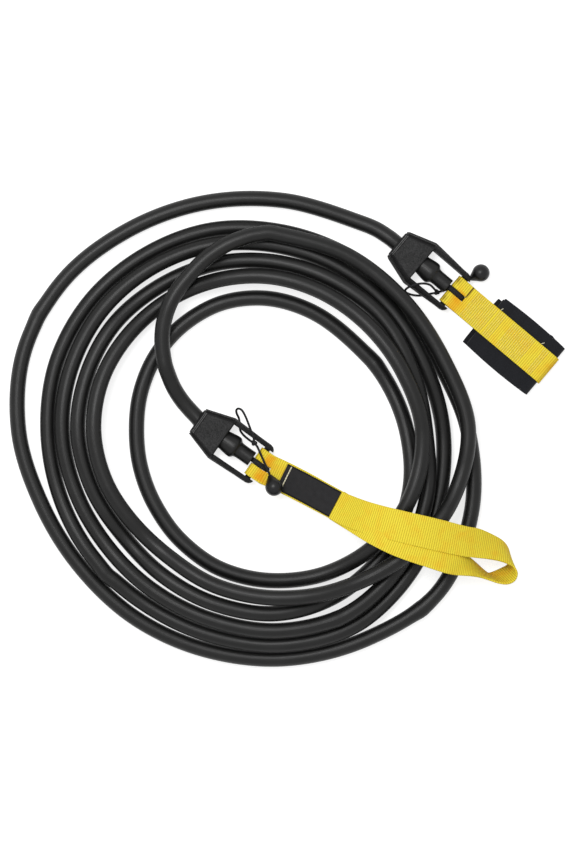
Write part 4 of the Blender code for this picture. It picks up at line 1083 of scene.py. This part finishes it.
upper = stations[on_top & (hand_run < hand_run[int(np.argmax(x))])]
at = np.linspace(LABEL_FROM, LABEL_FROM + LABEL_LONG, LABEL_ROWS)
label_line = np.column_stack([np.interp(at, upper[:, 0] - BAR_AT, column) for column in upper.T])
across = label_line[:, 3:6] / np.linalg.norm(label_line[:, 3:6], axis=1, keepdims=True)
label_up = np.cross(headings(label_line[:, :3]), across)
label_line[:, :3] += LABEL_LIFT * label_up
label_run = lengths_along(label_line[:, :3])
grid = ribbon(label_line, LABEL_WIDE, LABEL_COLUMNS)
plain_label = cloth("plain_label", stood_in(FRAME_B_PLACE, grid), black_satin, LABEL_THICK,
                    label_run, LABEL_WIDE)
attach(plain_label, "strap_b")
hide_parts("label")

# The cream thread: one row of plump stitches straight across the label, close to its end at
# frame B, and two loose ends of the same thread on the cuff, beside the yellow webbing.
ROW_PLACE = 0.0256
ROW_STITCHES = 9
ROW_STEP = 0.0023
ROW_LIFT = 0.00042
CREAM_LENGTH = 0.00232
CREAM_RADIUS = 0.00055
LOOSE_LENGTH = 0.0032
cream_thread = finish_of("cream_thread", twisted_thread, ((0.82, 0.76, 0.5), (0.95, 0.92, 0.74)),
                         0.0001)

spot = int(np.argmin(np.abs(label_line[:, 0] - BAR_AT - ROW_PLACE)))
row_v = (np.arange(ROW_STITCHES) - ROW_STITCHES // 2) * ROW_STEP
seat = label_line[spot, :3] + ROW_LIFT * label_up[spot]
ways, ups = (turned_in(FRAME_B_PLACE, np.tile(direction[spot], (ROW_STITCHES, 1)))
             for direction in (across, label_up))
label_row = stitches("label_row", stood_in(FRAME_B_PLACE, seat + row_v[:, None] * across[spot]),
                     ways, ups, cream_thread, CREAM_LENGTH, CREAM_RADIUS)
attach(label_row, "strap_b")
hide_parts("label_thread")

ends = np.array([(0.0817, 0.0139, -0.0002), (0.0392, 0.0136, -0.0002)]) + (BAR_AT, 0.0, 0.0)
out_of_hem = np.array([(0.55, 0.8, 0.1), (0.3, 0.93, 0.1)])
out_of_hem /= np.linalg.norm(out_of_hem, axis=1, keepdims=True)
lying = np.cross(out_of_hem, np.cross((0.0, 0.0, 1.0), out_of_hem))
lying /= np.linalg.norm(lying, axis=1, keepdims=True)
thread_ends = stitches("thread_ends", stood_in(FRAME_A_PLACE, ends),
                       turned_in(FRAME_A_PLACE, out_of_hem), turned_in(FRAME_A_PLACE, lying),
                       cream_thread, LOOSE_LENGTH)
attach(thread_ends, "strap_a")

# The toggles: a thin braided cord looped round each frame's arm and knotted, whose tail ends
# in a satin black ball with a conical neck.
CORD_RADIUS = 0.0009
CORD_STEP = 0.6
CORD_SIDES = 10
BALL_RADIUS = 7.0
BALL_SIDES = 40
NECK_ENTRY = (12.6, 10.8, 3.0)
KNOT_SIZE = 0.56
# In millimetres from each frame's mouth, across it and over its axis
LOOP_A = (
    (49.1, -8.3, -4.0), (47.6, -8.6, -2.4), (44.6, -8.4, 1.2), (41.0, -8.8, 5.2),
    (36.6, -11.4, 7.4), (32.4, -16.0, 8.0), (29.8, -20.6, 6.5), (29.0, -24.0, 3.0),
    (30.6, -25.0, -1.6), (34.8, -23.6, -5.8), (39.5, -20.6, -8.0), (43.6, -16.6, -8.5),
    (46.8, -12.4, -7.6), (49.0, -10.0, -5.9),
)
KNOT_A = (49.5, -8.8, -5.0)
TAIL_A = ((52.4, -5.0, -7.8), (56.0, 1.5, -8.5), (59.5, 8.5, -8.5), (62.0, 13.6, -8.3))
BALL_A = (66.6, 25.5, -2.5)
LOOP_B = (
    (46.9, 12.6, 9.6), (44.3, 15.4, 8.3), (40.1, 18.2, 8.1), (35.5, 21.4, 8.1),
    (29.9, 25.0, 7.2), (24.8, 27.4, 5.2), (21.6, 27.0, 2.0), (20.8, 25.0, -1.8),
    (22.6, 22.8, -5.4), (26.0, 20.8, -7.9), (29.4, 17.2, -8.4), (32.4, 13.6, -8.3),
    (35.4, 12.2, -5.4), (38.8, 11.6, -0.8), (42.6, 11.4, 4.0), (46.9, 11.3, 8.0),
)
KNOT_B = (47.6, 11.8, 8.9)
TAIL_B = ((51.6, 10.6, 8.2), (56.3, 7.7, 6.7), (61.5, 4.6, 5.6), (66.2, 2.2, 5.0))
BALL_B = (80.8, -8.1, 9.9)
# The ball's neck from its far pole, as (distance along, radius) in millimetres
NECK = ((4.4, 5.45), (5.6, 4.65), (7.0, 3.7), (8.4, 2.8), (9.6, 2.1), (10.2, 1.75), (10.4, 1.5),
        (10.3, 1.1), (9.8, 1.0))

satin_moulding = Effect("satin_moulding", "Dark", "Light")
haze = satin_moulding.speckle(240.0, 3.0)
satin_moulding.give(satin_moulding.blend(haze, "Dark", "Light"), 0.26 + 0.22 * haze, haze)
satin_black = finish_of("satin_black", satin_moulding,
                        ((0.003, 0.003, 0.0032), (0.009, 0.009, 0.0098)), 0.00006, "Object",
                        Specular_IOR_Level=0.3)


def turned_about(centre, axis, profile, count):
    """A profile of (along, radius) carried round an axis through the centre."""
    side = np.cross(axis, (0.31, 0.27, 0.91))
    side /= np.linalg.norm(side)
    ring = circle(side[None], np.cross(axis, side)[None], count)
    return centre + profile[:, :1, None] * axis + profile[:, 1:, None] * ring


def cord_piece(name, place, points):
    """A thin braided cord through millimetre points in a frame, and its path in the world."""
    path = stood_in(place, np.array(points) * 0.001)
    return woven_grid(name, round_section(path, CORD_RADIUS, CORD_SIDES), black_braid,
                      girth=2 * math.pi * CORD_RADIUS), path


def overhand_knot(centre):
    """A tight knot: its size times (sin t + 2 sin 2t, cos t - 2 cos 2t, -1.3 sin 3t)."""
    t = np.linspace(0.0, 2.08 * np.pi, 90)
    turns = np.column_stack([np.sin(t) + 2 * np.sin(2 * t), np.cos(t) - 2 * np.cos(2 * t),
                             -1.3 * np.sin(3 * t)])
    return centre + KNOT_SIZE * turns


pole = np.radians(np.array([178.5, 170, 160, 150, 140, 130, 120, 110, 100, 90, 80, 70, 60]))
ball = BALL_RADIUS * np.column_stack([np.cos(pole), np.sin(pole)])
ball_profile = np.vstack([ball, NECK]) * 0.001
for (letter, place, on_frame), on_ball, loop, knot, tail, middle in zip(
        FRAMES, ("toggle_a", "strap_b"), (LOOP_A, LOOP_B), (KNOT_A, KNOT_B), (TAIL_A, TAIL_B),
        (np.array(BALL_A), np.array(BALL_B))):
    toggle_loop, path = cord_piece(f"toggle_loop_{letter}", place, smooth_path(loop, CORD_STEP))
    knot_piece, _ = cord_piece(f"toggle_knot_{letter}", place, overhand_knot(knot))
    for piece in (toggle_loop, knot_piece):
        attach(piece, on_frame)
    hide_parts(f"toggle_cord_{letter}")

    toward = (np.array(tail[-1]) - middle) / np.linalg.norm(np.array(tail[-1]) - middle)
    grid = turned_about(middle * 0.001, toward, ball_profile, BALL_SIDES)
    ball_piece = woven_grid(f"ball_{letter}", stood_in(place, grid), satin_black)
    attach(ball_piece, on_ball)
    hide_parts(f"toggle_ball_{letter}")

    line = np.vstack([knot, *tail[:-1], *(middle + toward * out for out in NECK_ENTRY)])
    toggle_tail, path = cord_piece(f"toggle_end_{letter}", place, smooth_path(line, CORD_STEP))
    if letter == "a":
        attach(toggle_tail, on_ball)
    else:
        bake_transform(toggle_tail)
    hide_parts(f"toggle_tail_{letter}")
